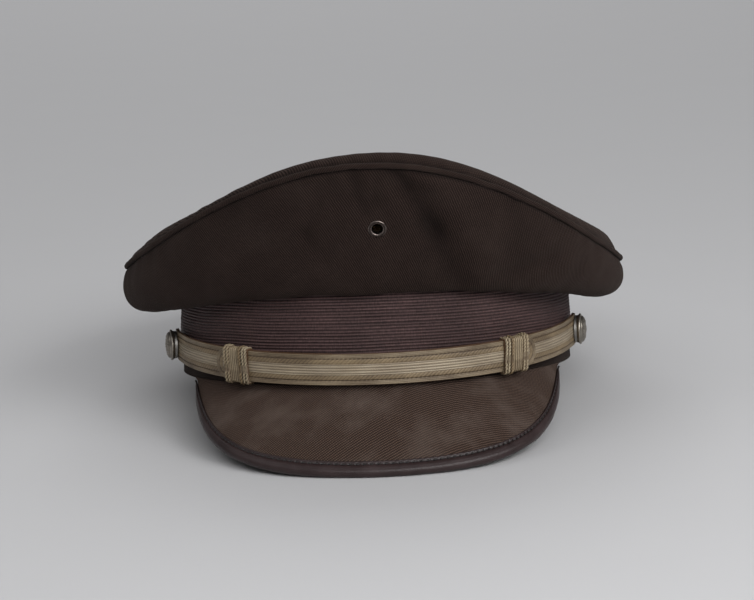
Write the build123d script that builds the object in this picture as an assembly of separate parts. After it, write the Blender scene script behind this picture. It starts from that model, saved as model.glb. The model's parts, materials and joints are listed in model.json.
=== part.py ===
from build123d import *

import os
from math import asin, atan2, ceil, comb, cos, degrees, hypot, pi, radians, sin, sqrt

# A military peaked cap standing on a table, as an assembly of its separate pieces.
#
# The pieces are drawn level on the head opening: X across the head with the wearer's left at +X,
# -Y forward, Z up, in mm, with the origin in the middle of the band's bottom edge. The whole cap
# is then tipped back, so that it stands on the visor's front edge and on the back of its band.

# ---- Driving sizes, in mm and degrees -------------------------------------------------------

# Head opening: half axes inside the sweatband. Their oval is 570 mm round, a 57 cm cap.
HEAD_X, HEAD_Y = 85.7, 95.7

# Band: its layers from the head outwards, its height, and how far its top leans in.
SWEATBAND = 1.0
COLLAR_ROOM = 3.0
STIFFENER = 1.2
BAND_CLOTH = 0.8
BRAID = 1.6
LAYER_PLAY = 0.1
BAND_HEIGHT = 40.0
BAND_LEAN = 2.4
CLOTH_STRIP = 5.0  # cloth that shows under the braid
SWEATBAND_HEIGHT = 34.0
REED_HEIGHT = 2.6
REED_PLAY = 0.05
HEM = 0.3  # height of the sweatband's lower edge
TAPE, TAPE_HALF_WIDTH = 0.5, 5.0  # strip over the sweatband's joint
TAPE_LOW, TAPE_HIGH = 3.0, 31.0
TAPE_PLAY = 0.05

# Crown: half axes at its piped edge, the cloth's thickness, and the edge's height round the cap as
# a mean and three waves, which is also the shape that a stretched top takes inside that edge.
CROWN_X, CROWN_Y = 116.5, 129.0
CROWN_CLOTH = 1.0
LINING = 0.5
EDGE_MEAN = 61.0
EDGE_WAVES = (17.4, 14.25, 3.5)
EDGE_TILT = 2.6  # how much lower the soft crown sits on the wearer's left than in the middle
CROWN_LEAN = 0.033  # sideways lean of the soft crown to the wearer's left, for each mm of height
SIDE_SEAM = 98.0  # where the front panel meets the rear panels, from the front
PIPING_RADIUS = 1.3
PIPING_CORD_RADIUS = 0.65
PIPING_PLAY = 0.05
RING_WIRE_RADIUS = 1.0
RING_WIRE_REACH = 0.945  # share of the crown's half axes
RING_WIRE_LIFT = 3.6
RING_JOINER, RING_JOINER_PLAY = 0.5, 0.03
RING_JOINER_SPAN = (176.0, 184.0)
TOP_REACH = 0.987
TOP_LIFT = -0.3
TOP_PUFF = 8.5  # rise of the top just inside its edge
TOP_PUFF_POWER = 30  # the higher, the closer to the edge it rises

# Profile of the crown's wall between the band and its edge: how far out and how far up its three
# middle control points are, each at the sides, then what is added at the front and at the back.
# The last one's height is measured from the edge.
WALL_OUT = ((8.0, -3.0, 0.0), (32.0, -23.0, 0.0), (28.0, -11.0, 0.0))
WALL_UP = ((22.0, 14.0, 2.0), (24.0, 26.0, 4.0), (-5.5, -17.0, -1.0))
WALL_GAP_BELOW, WALL_GAP_ABOVE = 0.15, 0.25

# Inside the crown: the front's canvas and its two springs, the linings and the sweat shield, with
# the shares of the wall's height, or of the crown's half axes, that they cover.
CANVAS, CANVAS_HALF_ANGLE, CANVAS_SHARES = 0.8, 34.0, (0.05, 0.95)
STAY, STAY_ANGLES, STAY_SHARES = 0.7, (3.6, 7.4), (0.06, 0.93)
SIDE_LINING_SHARES = (0.04, 0.94)
TOP_LINING_REACH, TOP_LINING_LIFT = 0.94, -2.0
SHIELD_REACH, SHIELD_LIFTS = 0.42, (-2.6, -2.2)

# Badge eyelet in the front panel
EYELET_HEIGHT = 68.5
EYELET_ANGLE = 1.0  # from the front's middle towards the wearer's left
EYELET_BORE = 2.4
EYELET_BARREL = 2.9
EYELET_FLANGE = 4.0
EYELET_PLATE = 0.5
EYELET_LIFT = 0.2  # flange above the cloth, which is curved
EYELET_ROUNDING = 0.3
EYELET_WASHER_RADIUS, EYELET_WASHER_PLAY = 4.2, 0.02
EYELET_HOLE_PLAY = 0.05
LINING_HOLE = 6.0

# Visor: where it meets the band, its outer edge's half width, reach and drop, and its layers.
VISOR_END = 69.0
VISOR_SPAN = 0.95  # share of the half width at which the sheets end
VISOR_DROP_AT_BAND = 0.3
VISOR_HALF_WIDTH = 82.3
VISOR_ROOT_Y = 40.0
VISOR_REACH = 95.0
VISOR_DROP = 33.5
VISOR_SQUARENESS = 0.044  # 0 for an oval edge, more for fuller corners
VISOR_BOW = 0.03  # rise between band and edge, as a share of the distance between them
VISOR_COVER = 0.7
VISOR_BOARD = 1.2
VISOR_UNDERSIDE = 0.5
VISOR_PLAY = 0.03
BINDING = 0.9
BINDING_LAP = 4.2
BINDING_LAP_SHARE = 0.7  # most of the visor's depth that a leg covers at its narrow ends
BINDING_PLAY = 0.1

# Chinstrap: arc centre in front of the head's middle, and the radii of its layers.
STRAP_CENTRE_Y = -13.7
STRAP_RADIUS = 92.3
STRAP_LEATHER = 0.5
STRAP_LACE = 0.6
STRAP_PLAY = 0.05
STRAP_WIDTH = 14.0
STRAP_END = 82.5  # centre of the round end, from the front
STRAP_INNER_END = 12.0
FRONT_STRAP_END = 45.0
SLIDE_ANGLE = 40.5
SLIDE_LENGTH = 14.0
SLIDE_PLAY = 0.15
SLIDE_CORE, SLIDE_CORE_SHARE = 0.35, 0.9  # thickness, and share of the slide's length
SLIDE_CORE_PLAY = 0.03
SLIDE_WRAP = 1.1
SLIDE_BACK = 0.4
FRONT_CENTRE_HEIGHT = 7.2

# Side buttons
BUTTON_ANGLE = 80.5
BUTTON_HEIGHT = 14.0
BUTTON_RADIUS = 7.15
BUTTON_DOME = 2.9
BUTTON_SHELL = 0.45
BUTTON_STAND = 1.8  # from the strap's inner face to the button's back
BUTTON_BACK, BUTTON_BACK_INSET = 1.8, 0.8  # thickness, and how far it lies inside the rim
BUTTON_PLAY = 0.05
LIP, LIP_LOW, LIP_HIGH = 0.75, -0.8, 0.1  # the rim's thickness, and its heights about the back
POST_RADIUS, POST_HOLE, POST_END = 1.5, 1.7, 0.15
STRAP_HOLE = 1.9
WASHER_RADIUS, WASHER, WASHER_PLAY = 4.5, 0.4, 0.05
WASHER_STAND = 0.55  # lets the flat washer lie clear of the curved stiffener
COLLAR_RADIUS, COLLAR, COLLAR_GRIP, COLLAR_PLAY = 3.2, 1.0, 0.02, 0.03

SEAM_GAP = 0.05  # between two ends that butt together
RING_END = 179.8  # half turn of a tube that closes on itself, less its joint
BORE_END = 179.95
WIRE_END = 179.9
CUT = 12.0  # how far a cutter reaches past the layers it cuts

# ---- Sizes worked out from those ------------------------------------------------------------

STIFFENER_IN = SWEATBAND + COLLAR_ROOM
CLOTH_IN = STIFFENER_IN + STIFFENER + LAYER_PLAY
CLOTH_OUT = CLOTH_IN + BAND_CLOTH
BRAID_IN = CLOTH_OUT + LAYER_PLAY
BAND_OUT = BRAID_IN + BRAID
CANVAS_IN = -CROWN_CLOTH - LAYER_PLAY - CANVAS
STAY_IN = CANVAS_IN - LAYER_PLAY - STAY
LINING_IN = STAY_IN - 3 * LAYER_PLAY - LINING
EYELET_BACK = CANVAS_IN - EYELET_LIFT - EYELET_PLATE
BOTTOM = (Align.CENTER, Align.CENTER, Align.MIN)


def oval(offset, height):
    """Half axes of the band's oval, so far outside the head opening, at a height."""
    lean = BAND_LEAN * height / BAND_HEIGHT
    return HEAD_X + offset - lean, HEAD_Y + offset - lean


BAND_TOP_X, BAND_TOP_Y = oval(BAND_OUT, BAND_HEIGHT)
OVERHANG = CROWN_X - BAND_TOP_X
OVERHANG_Y_SHARE = (CROWN_Y - BAND_TOP_Y) / OVERHANG
VISOR_THICKNESS = VISOR_COVER + VISOR_BOARD + VISOR_UNDERSIDE
LACE_IN = STRAP_RADIUS + STRAP_LEATHER + STRAP_PLAY
FRONT_STRAP_RADIUS = LACE_IN + STRAP_LACE + 2 * STRAP_PLAY
FRONT_LACE_IN = FRONT_STRAP_RADIUS + STRAP_LEATHER + STRAP_PLAY
STRAP_OUTER_RADIUS = FRONT_LACE_IN + STRAP_LACE
BUTTON_X = STRAP_RADIUS * sin(radians(BUTTON_ANGLE))
BUTTON_Y = STRAP_CENTRE_Y - STRAP_RADIUS * cos(radians(BUTTON_ANGLE))
STRAP_TILT = degrees(
    asin((BUTTON_HEIGHT - FRONT_CENTRE_HEIGHT) / (STRAP_RADIUS - STRAP_CENTRE_Y + BUTTON_Y))
)

# ---- Curved sheets and tubes ----------------------------------------------------------------


def sheet(place, rows, columns):
    """A closed solid between two curved faces. place(u, v, w) gives a point, and w is 0 on the
    inner face and 1 on the outer."""

    def face(w):
        return Face.make_surface_from_array_of_points(
            [
                [place(i / (rows - 1), j / (columns - 1), w) for j in range(columns)]
                for i in range(rows)
            ],
            tol=0.005,
        )

    inner, outer = face(0), face(1)
    rims = []
    for edge in inner.edges():
        middle = edge.position_at(0.5)
        partner = min(outer.edges(), key=lambda other: (other.position_at(0.5) - middle).length)
        rims.append(Face.make_surface_from_curves(edge, partner))
    solid = Solid(Shell(Face.sew_faces([inner, outer, *rims])[0]))
    return solid if solid.volume > 0 else Solid(solid.wrapped.Reversed())


def layer(surface, rows, columns, inner, outer):
    """A sheet that lies between two distances outside surface(u, v), measured square to it."""
    step = 1e-4

    def place(u, v, w):
        u_low, u_high = max(u - step, 0), min(u + step, 1)
        v_low, v_high = max(v - step, 0), min(v + step, 1)
        along = Vector(surface(u_high, v)) - Vector(surface(u_low, v))
        across = Vector(surface(u, v_high)) - Vector(surface(u, v_low))
        normal = along.cross(across).normalized()
        return Vector(surface(u, v)) + normal * (inner + (outer - inner) * w)

    return sheet(place, rows, columns)


def tube(curve, radius, start, end, stations):
    """A round bar along curve(angle), from one angle to another in degrees."""
    step = 0.01
    sections = []
    for i in range(stations):
        angle = start + (end - start) * i / (stations - 1)
        ahead = Vector(curve(angle + step)) - Vector(curve(angle - step))
        plane = Plane(origin=curve(angle), x_dir=Vector(0, 0, 1).cross(ahead), z_dir=ahead)
        sections.append(plane * Circle(radius))
    return loft(sections)


def between(low, high, share):
    return low + (high - low) * share


def radial_cylinder(radius, inner, outer, location):
    """A cylinder along a location's own Z axis, from one distance along it to another."""
    return location * Pos(0, 0, inner) * Cylinder(radius, outer - inner, align=BOTTOM)


# ---- Band -----------------------------------------------------------------------------------


def band_ring(inner, outer, low, high):
    """One layer of the band, between two distances outside the head opening and two heights."""

    def cone(offset):
        return loft([Plane.XY.offset(z) * Ellipse(*oval(offset, z)) for z in (low, high)])

    return cone(outer) - cone(inner)


def button_location(side):
    """Origin on the strap's inner face, Z outwards along the button's post. side is -1 or 1."""
    angle = radians(BUTTON_ANGLE)
    outwards = Vector(side * sin(angle), -cos(angle), 0)
    return Plane(
        origin=(side * BUTTON_X, BUTTON_Y, BUTTON_HEIGHT), x_dir=(0, 0, 1), z_dir=outwards
    ).location


def post_holes(solid):
    """Cuts the two holes for the button posts."""
    for side in (-1, 1):
        solid -= radial_cylinder(POST_HOLE, -CUT, CUT, button_location(side))
    return solid


def sweatband_back_tape():
    """The strip of leather over the sweatband's butted ends, on the head side at the back."""

    def surface(u, v):
        angle = between(-TAPE_HALF_WIDTH, TAPE_HALF_WIDTH, u) / HEAD_Y
        height = between(TAPE_LOW, TAPE_HIGH, v)
        across, along = oval(0, height)
        return across * sin(angle), along * cos(angle), height

    return layer(surface, 7, 7, TAPE_PLAY, TAPE_PLAY + TAPE)


# ---- Crown ----------------------------------------------------------------------------------


def edge_height(angle, reach=1.0):
    """Height of the crown's edge at an angle from the front, or of the stretched top inside it."""
    waves = enumerate(EDGE_WAVES, start=1)
    level = EDGE_MEAN - EDGE_TILT * reach * sin(angle)
    return level + sum(size * reach**n * cos(n * angle) for n, size in waves)


def leaned(x, y, z):
    """A point of the upright crown, carried sideways as the soft crown leans."""
    return x + CROWN_LEAN * (z - BAND_HEIGHT), y, z


def crown_profile(angle):
    """Bezier control points (distance outside the band's top edge, height) of the crown's wall."""
    top = edge_height(angle) - PIPING_RADIUS - WALL_GAP_ABOVE
    shares = (1, max(cos(angle), 0) ** 2, max(-cos(angle), 0) ** 2)
    out = [sum(share * size for share, size in zip(shares, sizes)) for sizes in WALL_OUT]
    up = [sum(share * size for share, size in zip(shares, sizes)) for sizes in WALL_UP]
    up[-1] += top
    return [(0.0, BAND_HEIGHT + WALL_GAP_BELOW), *zip(out, up), (OVERHANG, top)]


def wall_point(angle, share):
    """A point on the crown's wall: angle from the front, and share of the way up its profile."""
    points = crown_profile(angle)
    degree = len(points) - 1
    weights = [comb(degree, i) * (1 - share) ** (degree - i) * share**i for i in range(degree + 1)]
    out = sum(weight * x for weight, (x, _) in zip(weights, points))
    height = sum(weight * z for weight, (_, z) in zip(weights, points))
    across = BAND_TOP_X + out
    along = BAND_TOP_Y + out * OVERHANG_Y_SHARE
    return leaned(across * sin(angle), -along * cos(angle), height)


def wall(start, end, low=0.0, high=1.0):
    """The wall between two angles from the front, in degrees, and two shares of its height."""

    def surface(u, v):
        return wall_point(radians(between(start, end, u)), between(low, high, v))

    return surface


def crown_panel(start, end):
    rows = 2 * ceil((end - start) / 12) + 1
    return layer(wall(start, end), rows, 13, -CROWN_CLOTH, 0)


def top_point(u, v, reach, lift, puff):
    """A point of a sheet that fills the crown's edge: a square laid onto the oval."""
    a, b = sin(pi * (u - 0.5)), sin(pi * (v - 0.5))
    x = a * sqrt(1 - b * b / 2) * reach
    y = b * sqrt(1 - a * a / 2) * reach
    rho = hypot(x, y)
    height = edge_height(atan2(x, -y), rho) + lift + puff * (1 - (rho / reach) ** TOP_PUFF_POWER)
    return leaned(x * CROWN_X, y * CROWN_Y, height)


def top_sheet(reach, low, high, puff, count=25):
    return sheet(lambda u, v, w: top_point(u, v, reach, between(low, high, w), puff), count, count)


def crown_edge(angle, reach=1.0, lift=0.0):
    """The crown's piped edge, or a smaller ring that follows the stretched top inside it."""
    t = radians(angle)
    height = edge_height(t, reach) + lift
    return leaned(reach * CROWN_X * sin(t), -reach * CROWN_Y * cos(t), height)


def ring_wire_line(angle):
    return crown_edge(angle, RING_WIRE_REACH, RING_WIRE_LIFT)


def eyelet_location():
    """Origin on the front panel at the eyelet's height, Z outwards along its bore."""
    angle = radians(EYELET_ANGLE)
    low, high = 0.0, 1.0
    for _ in range(40):
        share = (low + high) / 2
        if wall_point(angle, share)[2] < EYELET_HEIGHT:
            low = share
        else:
            high = share
    step = 1e-3
    here = Vector(wall_point(angle, share))
    up = Vector(wall_point(angle, share + step)) - here
    outwards = Vector(1, 0, 0).cross(up)
    return Plane(origin=here, x_dir=(1, 0, 0), z_dir=outwards).location


EYELET = eyelet_location()


def eyelet_hole(solid, radius):
    return solid - radial_cylinder(radius, -CUT, CUT, EYELET)


def badge_eyelet():
    """Flange outside the front panel and a barrel through it."""
    face = EYELET_LIFT + EYELET_PLATE
    flange = radial_cylinder(EYELET_FLANGE, EYELET_LIFT, face, EYELET)
    flange = fillet(flange.edges().sort_by(Axis.Y)[0], EYELET_ROUNDING)
    barrel = radial_cylinder(EYELET_BARREL, EYELET_BACK, face - EYELET_ROUNDING, EYELET)
    return flange + barrel - radial_cylinder(EYELET_BORE, -CUT, CUT, EYELET)


def eyelet_washer():
    face = EYELET_BACK + EYELET_PLATE
    ring = radial_cylinder(EYELET_WASHER_RADIUS, EYELET_BACK, face, EYELET)
    return ring - radial_cylinder(EYELET_BARREL + EYELET_WASHER_PLAY, -CUT, CUT, EYELET)


def front_stay(side):
    """One of the two springs that hold the crown's front up, beside the eyelet."""
    start, end = sorted(side * angle for angle in STAY_ANGLES)
    return layer(wall(start, end, *STAY_SHARES), 5, 13, STAY_IN, STAY_IN + STAY)


def ring_joiner():
    """The sleeve over the ring wire's two ends, at the back."""
    start, end = RING_JOINER_SPAN
    sleeve = tube(ring_wire_line, RING_WIRE_RADIUS + RING_JOINER, start, end, 5)
    bore = tube(ring_wire_line, RING_WIRE_RADIUS + RING_JOINER_PLAY, start - 1, end + 1, 7)
    return sleeve - bore


# ---- Visor ----------------------------------------------------------------------------------


def visor_line(share):
    """The visor's root and edge at a share of its half width, from -1 to 1."""
    root = radians(VISOR_END * share)
    across, along = oval(CLOTH_OUT, 0)
    at_root = Vector(across * sin(root), -along * cos(root), -VISOR_DROP_AT_BAND)
    edge = radians(90 * share)
    sideways = (sin(edge) + VISOR_SQUARENESS * sin(3 * edge)) / (1 - VISOR_SQUARENESS)
    ahead = (cos(edge) - VISOR_SQUARENESS * cos(3 * edge)) / (1 - VISOR_SQUARENESS)
    at_edge = Vector(
        VISOR_HALF_WIDTH * sideways, -VISOR_ROOT_Y - VISOR_REACH * ahead, -VISOR_DROP * ahead
    )
    return at_root, at_edge


def visor_surface(u, v):
    """The visor's upper face: u from the wearer's left to right, v from band to edge."""
    root, edge = visor_line(between(VISOR_SPAN, -VISOR_SPAN, u))
    across = edge - root
    bow = VISOR_BOW * 4 * v * (1 - v)
    return root + across * v + Vector(0, 0, bow * hypot(across.X, across.Y))


def visor_layer(low, high):
    return layer(visor_surface, 33, 9, low, high)


def visor_directions(u, v):
    """Unit vectors along, out of and up from the visor at a point of its upper face."""
    step = 1e-3
    u_low, u_high = max(u - step, 0), min(u + step, 1)
    v_low, v_high = max(v - step, 0), min(v + step, 1)
    along = (Vector(visor_surface(u_high, v)) - Vector(visor_surface(u_low, v))).normalized()
    outwards = Vector(visor_surface(u, v_high)) - Vector(visor_surface(u, v_low))
    upwards = along.cross(outwards).normalized()
    return along, upwards.cross(along), upwards


def visor_binding():
    """The leather strip folded round the visor's edge, as a U whose legs lap both its faces."""
    inner_radius = VISOR_THICKNESS / 2 + BINDING_PLAY
    bend = pi * inner_radius

    def place(u, v, w):
        root, edge = visor_line(between(VISOR_SPAN, -VISOR_SPAN, u))
        length = (edge - root).length
        lap = min(BINDING_LAP, BINDING_LAP_SHARE * length)
        radius = inner_radius + BINDING * w
        travel = v * (2 * lap + bend)
        turn = min(max((travel - lap) / inner_radius, 0), pi)
        inland = max(lap - travel, travel - lap - bend, 0)
        across = 1 - inland / length
        _, outwards, upwards = visor_directions(u, across)
        middle = Vector(visor_surface(u, across)) - upwards * VISOR_THICKNESS / 2
        return middle + outwards * sin(turn) * radius + upwards * cos(turn) * radius

    return sheet(place, 33, 25)


# ---- Chinstrap ------------------------------------------------------------------------------

# The strap is drawn level with its arc's centre at the origin, then hung between the buttons.
BUTTON_LINE_DISTANCE = STRAP_CENTRE_Y - BUTTON_Y


def hang(piece):
    """Carries a piece of the strap from its own level frame to its place on the band."""
    at_buttons = Pos(0, BUTTON_LINE_DISTANCE, 0) * piece
    return Pos(0, BUTTON_Y, BUTTON_HEIGHT) * Rot(STRAP_TILT, 0, 0) * at_buttons


def strap_sector(inner, outer, half_height, start, end):
    """A piece of a ring about the arc's centre, between two angles from the front."""
    middle = (inner + outer) / 2
    section = Plane.XZ * Pos(middle, 0) * Rectangle(outer - inner, 2 * half_height)
    return Rot(0, 0, start - 90) * revolve(section, Axis.Z, end - start)


def strap_radial(angle):
    """Origin on the arc's centre line at an angle from the front, Z outwards."""
    t = radians(angle)
    return Plane(origin=(0, 0, 0), x_dir=(0, 0, 1), z_dir=(sin(t), -cos(t), 0)).location


def strap_piece(inner, outer, start, end, round_start, round_end):
    """A length of strap, with either end round."""
    half = STRAP_WIDTH / 2
    turn = degrees(STRAP_WIDTH / inner)
    solid = strap_sector(inner, outer, half, start, end)
    for angle, wanted, away in ((start, round_start, -1), (end, round_end, 1)):
        if wanted:
            low, high = sorted((angle, angle + away * turn))
            end_piece = strap_sector(inner, outer, half, low, high)
            disc = radial_cylinder(half, inner - CUT, outer + CUT, strap_radial(angle))
            solid += end_piece & disc
    return solid


def side_strap(side, inner, outer):
    """One layer of the strap from a button to behind the front strap."""
    start, end = sorted((side * STRAP_INNER_END, side * STRAP_END))
    piece = strap_piece(inner, outer, start, end, side < 0, side > 0)
    button = strap_radial(side * BUTTON_ANGLE)
    return hang(piece - radial_cylinder(STRAP_HOLE, inner - CUT, outer + CUT, button))


def front_strap(inner, outer):
    return hang(strap_piece(inner, outer, -FRONT_STRAP_END, FRONT_STRAP_END, True, True))


def slide_loop(side, inner_gap, back, sides, length_share):
    """A loop round both straps: its gap to them, the wall behind, and the wall elsewhere."""
    inner = STRAP_RADIUS - inner_gap
    outer = STRAP_OUTER_RADIUS + inner_gap
    half = STRAP_WIDTH / 2 + inner_gap
    half_turn = degrees(SLIDE_LENGTH * length_share / 2 / STRAP_RADIUS)
    start, end = side * SLIDE_ANGLE - half_turn, side * SLIDE_ANGLE + half_turn
    whole = strap_sector(inner - back, outer + sides, half + sides, start, end)
    return hang(whole - strap_sector(inner, outer, half, start - 1, end + 1))


# ---- Side buttons ---------------------------------------------------------------------------


def on_button(side, solid):
    return button_location(side) * solid


def button_back(side):
    """The button's back plate with its threaded post in one piece."""
    washer_face = -inner_face_distance()
    end = washer_face - WASHER - COLLAR - POST_END
    radius = BUTTON_RADIUS - BUTTON_BACK_INSET
    plate = Pos(0, 0, BUTTON_STAND) * Cylinder(radius, BUTTON_BACK, align=BOTTOM)
    post = Pos(0, 0, end) * Cylinder(POST_RADIUS, BUTTON_STAND - end, align=BOTTOM)
    return on_button(side, plate + post)


def inner_face_distance():
    """From the strap's inner face in to where the washer can lie flat on the leaning stiffener."""
    across, along = oval(STIFFENER_IN, BUTTON_HEIGHT)
    angle = radians(BUTTON_ANGLE)
    x, y = BUTTON_X, BUTTON_Y
    depth = 0.0
    while (x / across) ** 2 + (y / along) ** 2 > 1:
        depth += 0.01
        x = BUTTON_X - depth * sin(angle)
        y = BUTTON_Y + depth * cos(angle)
    return depth + WASHER_STAND


def button_shell(side):
    """The domed face with the rim that is crimped round the back plate."""
    base = BUTTON_STAND + BUTTON_BACK + BUTTON_PLAY
    rim = BUTTON_RADIUS
    ball = (rim**2 + BUTTON_DOME**2) / (2 * BUTTON_DOME)
    centre = base + BUTTON_DOME - ball

    def disc(radius):
        return Plane.XZ * Pos(0, centre) * Circle(radius)

    above = Plane.XZ * Pos(rim / 2, base + rim / 2) * Rectangle(rim, rim)
    dome = (disc(ball) - disc(ball - BUTTON_SHELL)) & above
    lip_middle = base + (LIP_LOW + LIP_HIGH) / 2
    lip = Plane.XZ * Pos(rim - LIP / 2, lip_middle) * Rectangle(LIP, LIP_HIGH - LIP_LOW)
    return on_button(side, revolve(dome + lip, Axis.Z))


def button_washer(side):
    face = -inner_face_distance()
    ring = Cylinder(WASHER_RADIUS, WASHER, align=BOTTOM) - Cylinder(POST_RADIUS + WASHER_PLAY, CUT)
    return on_button(side, Pos(0, 0, face - WASHER) * ring)


def button_collar(side):
    """The collar pressed on the post's end, which turns with it against the washer."""
    face = -inner_face_distance() - WASHER - COLLAR_PLAY
    ring = Cylinder(COLLAR_RADIUS, COLLAR, align=BOTTOM) - Cylinder(POST_RADIUS + COLLAR_GRIP, CUT)
    return on_button(side, Pos(0, 0, face - COLLAR) * ring)


# ---- The whole cap, every piece by name, level on the head opening ----------------------------


def band_pieces():
    return {
        "sweatband": band_ring(0, SWEATBAND, HEM, SWEATBAND_HEIGHT),
        "sweatband_back_tape": sweatband_back_tape(),
        "sweatband_reed": band_ring(
            SWEATBAND + REED_PLAY, STIFFENER_IN - REED_PLAY, LAYER_PLAY, REED_HEIGHT
        ),
        "band_stiffener": post_holes(
            band_ring(STIFFENER_IN, STIFFENER_IN + STIFFENER, 0.0, BAND_HEIGHT)
        ),
        "band_cloth": post_holes(band_ring(CLOTH_IN, CLOTH_OUT, LAYER_PLAY, BAND_HEIGHT)),
        "band_braid": post_holes(band_ring(BRAID_IN, BAND_OUT, CLOTH_STRIP, BAND_HEIGHT)),
    }


def crown_pieces():
    barrel_hole = EYELET_BARREL + EYELET_HOLE_PLAY
    canvas = wall(-CANVAS_HALF_ANGLE, CANVAS_HALF_ANGLE, *CANVAS_SHARES)
    side_lining = wall(-RING_END, RING_END, *SIDE_LINING_SHARES)
    lining_low, lining_high = TOP_LINING_LIFT, TOP_LINING_LIFT + LINING
    piping_bore = tube(crown_edge, PIPING_CORD_RADIUS + PIPING_PLAY, -BORE_END, BORE_END, 49)
    return {
        "crown_front_panel": eyelet_hole(crown_panel(-SIDE_SEAM, SIDE_SEAM), barrel_hole),
        "crown_rear_panel_left": crown_panel(SIDE_SEAM + SEAM_GAP, 180 - SEAM_GAP),
        "crown_rear_panel_right": crown_panel(SEAM_GAP - 180, -SIDE_SEAM - SEAM_GAP),
        "crown_top": top_sheet(TOP_REACH, TOP_LIFT, TOP_LIFT + CROWN_CLOTH, TOP_PUFF),
        "crown_piping_cover": tube(crown_edge, PIPING_RADIUS, -RING_END, RING_END, 49) - piping_bore,
        "crown_piping_cord": tube(crown_edge, PIPING_CORD_RADIUS, -RING_END, RING_END, 49),
        "crown_ring_wire": tube(ring_wire_line, RING_WIRE_RADIUS, -WIRE_END, WIRE_END, 49),
        "crown_ring_joiner": ring_joiner(),
        "front_canvas": eyelet_hole(
            layer(canvas, 15, 13, CANVAS_IN, CANVAS_IN + CANVAS), barrel_hole
        ),
        "front_stay_left": front_stay(1),
        "front_stay_right": front_stay(-1),
        "crown_side_lining": eyelet_hole(
            layer(side_lining, 61, 13, LINING_IN, LINING_IN + LINING), LINING_HOLE
        ),
        "crown_top_lining": top_sheet(TOP_LINING_REACH, lining_low, lining_high, 0.0),
        "sweat_shield": top_sheet(SHIELD_REACH, *SHIELD_LIFTS, 0.0, 9),
        "badge_eyelet": badge_eyelet(),
        "badge_eyelet_washer": eyelet_washer(),
    }


def visor_pieces():
    board_top = -VISOR_COVER - VISOR_PLAY
    board_bottom = -VISOR_COVER - VISOR_BOARD
    return {
        "visor_cover": visor_layer(-VISOR_COVER, 0),
        "visor_board": visor_layer(board_bottom, board_top),
        "visor_underside": visor_layer(-VISOR_THICKNESS, board_bottom - VISOR_PLAY),
        "visor_binding": visor_binding(),
    }


def chinstrap_pieces():
    """The two layers of each strap, and the slides that hold the straps together."""
    parts = {
        "strap_front_leather": front_strap(FRONT_STRAP_RADIUS, FRONT_STRAP_RADIUS + STRAP_LEATHER),
        "strap_front_lace": front_strap(FRONT_LACE_IN, STRAP_OUTER_RADIUS),
    }
    wrap_gap = SLIDE_PLAY + SLIDE_CORE + SLIDE_CORE_PLAY
    for side, name in ((1, "left"), (-1, "right")):
        parts[f"strap_{name}_leather"] = side_strap(side, STRAP_RADIUS, STRAP_RADIUS + STRAP_LEATHER)
        parts[f"strap_{name}_lace"] = side_strap(side, LACE_IN, LACE_IN + STRAP_LACE)
        parts[f"slide_{name}_core"] = slide_loop(
            side, SLIDE_PLAY, SLIDE_CORE, SLIDE_CORE, SLIDE_CORE_SHARE
        )
        parts[f"slide_{name}_wrap"] = slide_loop(side, wrap_gap, SLIDE_BACK, SLIDE_WRAP, 1.0)
    return parts


def button_pieces():
    parts = {}
    for side, name in ((1, "left"), (-1, "right")):
        parts[f"button_{name}_back"] = button_back(side)
        parts[f"button_{name}_shell"] = button_shell(side)
        parts[f"button_{name}_washer"] = button_washer(side)
        parts[f"button_{name}_collar"] = button_collar(side)
    return parts


def standing(parts):
    """The location that tips the cap back onto its visor and puts the origin on the table."""
    middle = visor_surface(0.5, 1) - visor_directions(0.5, 1)[2] * VISOR_THICKNESS / 2
    radius = VISOR_THICKNESS / 2 + BINDING_PLAY + BINDING
    span = oval(CLOTH_OUT, 0)[1] - middle.Y
    pitch = degrees(atan2(-middle.Z, span) + asin(radius / hypot(span, middle.Z)))
    tipped = Rot(-pitch, 0, 0)
    box = Compound(children=[tipped * solid for solid in parts.values()]).bounding_box()
    return Pos(0, -(box.min.Y + box.max.Y) / 2, -box.min.Z) * tipped


PARTS = band_pieces() | crown_pieces() | visor_pieces() | chinstrap_pieces() | button_pieces()
STAND = standing(PARTS)


def line(location):
    """A location's origin and Z direction in the standing cap, in mm."""
    placed = STAND * location
    direction = Plane(placed).z_dir
    return [round(n, 4) for n in placed.position], [round(n, 6) for n in direction]


# The lines that the moving pieces turn about, and the eyelet's bore.
LINES = {
    "button_left": line(button_location(1)),
    "button_right": line(button_location(-1)),
    "strap_arc": line(hang(Location())),
    "badge_eyelet": line(EYELET),
}
BORE_SPAN = (round(EYELET_BACK, 3), round(EYELET_LIFT + EYELET_PLATE, 3))

os.makedirs("parts", exist_ok=True)
for node, solid in PARTS.items():
    export_step(STAND * solid, f"parts/{node}.step")
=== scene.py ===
"""The looks of a military peaked cap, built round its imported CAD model.

Shapes are worked out in the cap's own level frame, in mm: X across the head with the wearer's left at
+X, -Y forward, Z up from the band's bottom edge. placed() carries them onto the standing cap.
"""

import json

import bmesh
import bpy
import numpy as np
from mathutils import Matrix, Vector


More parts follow.
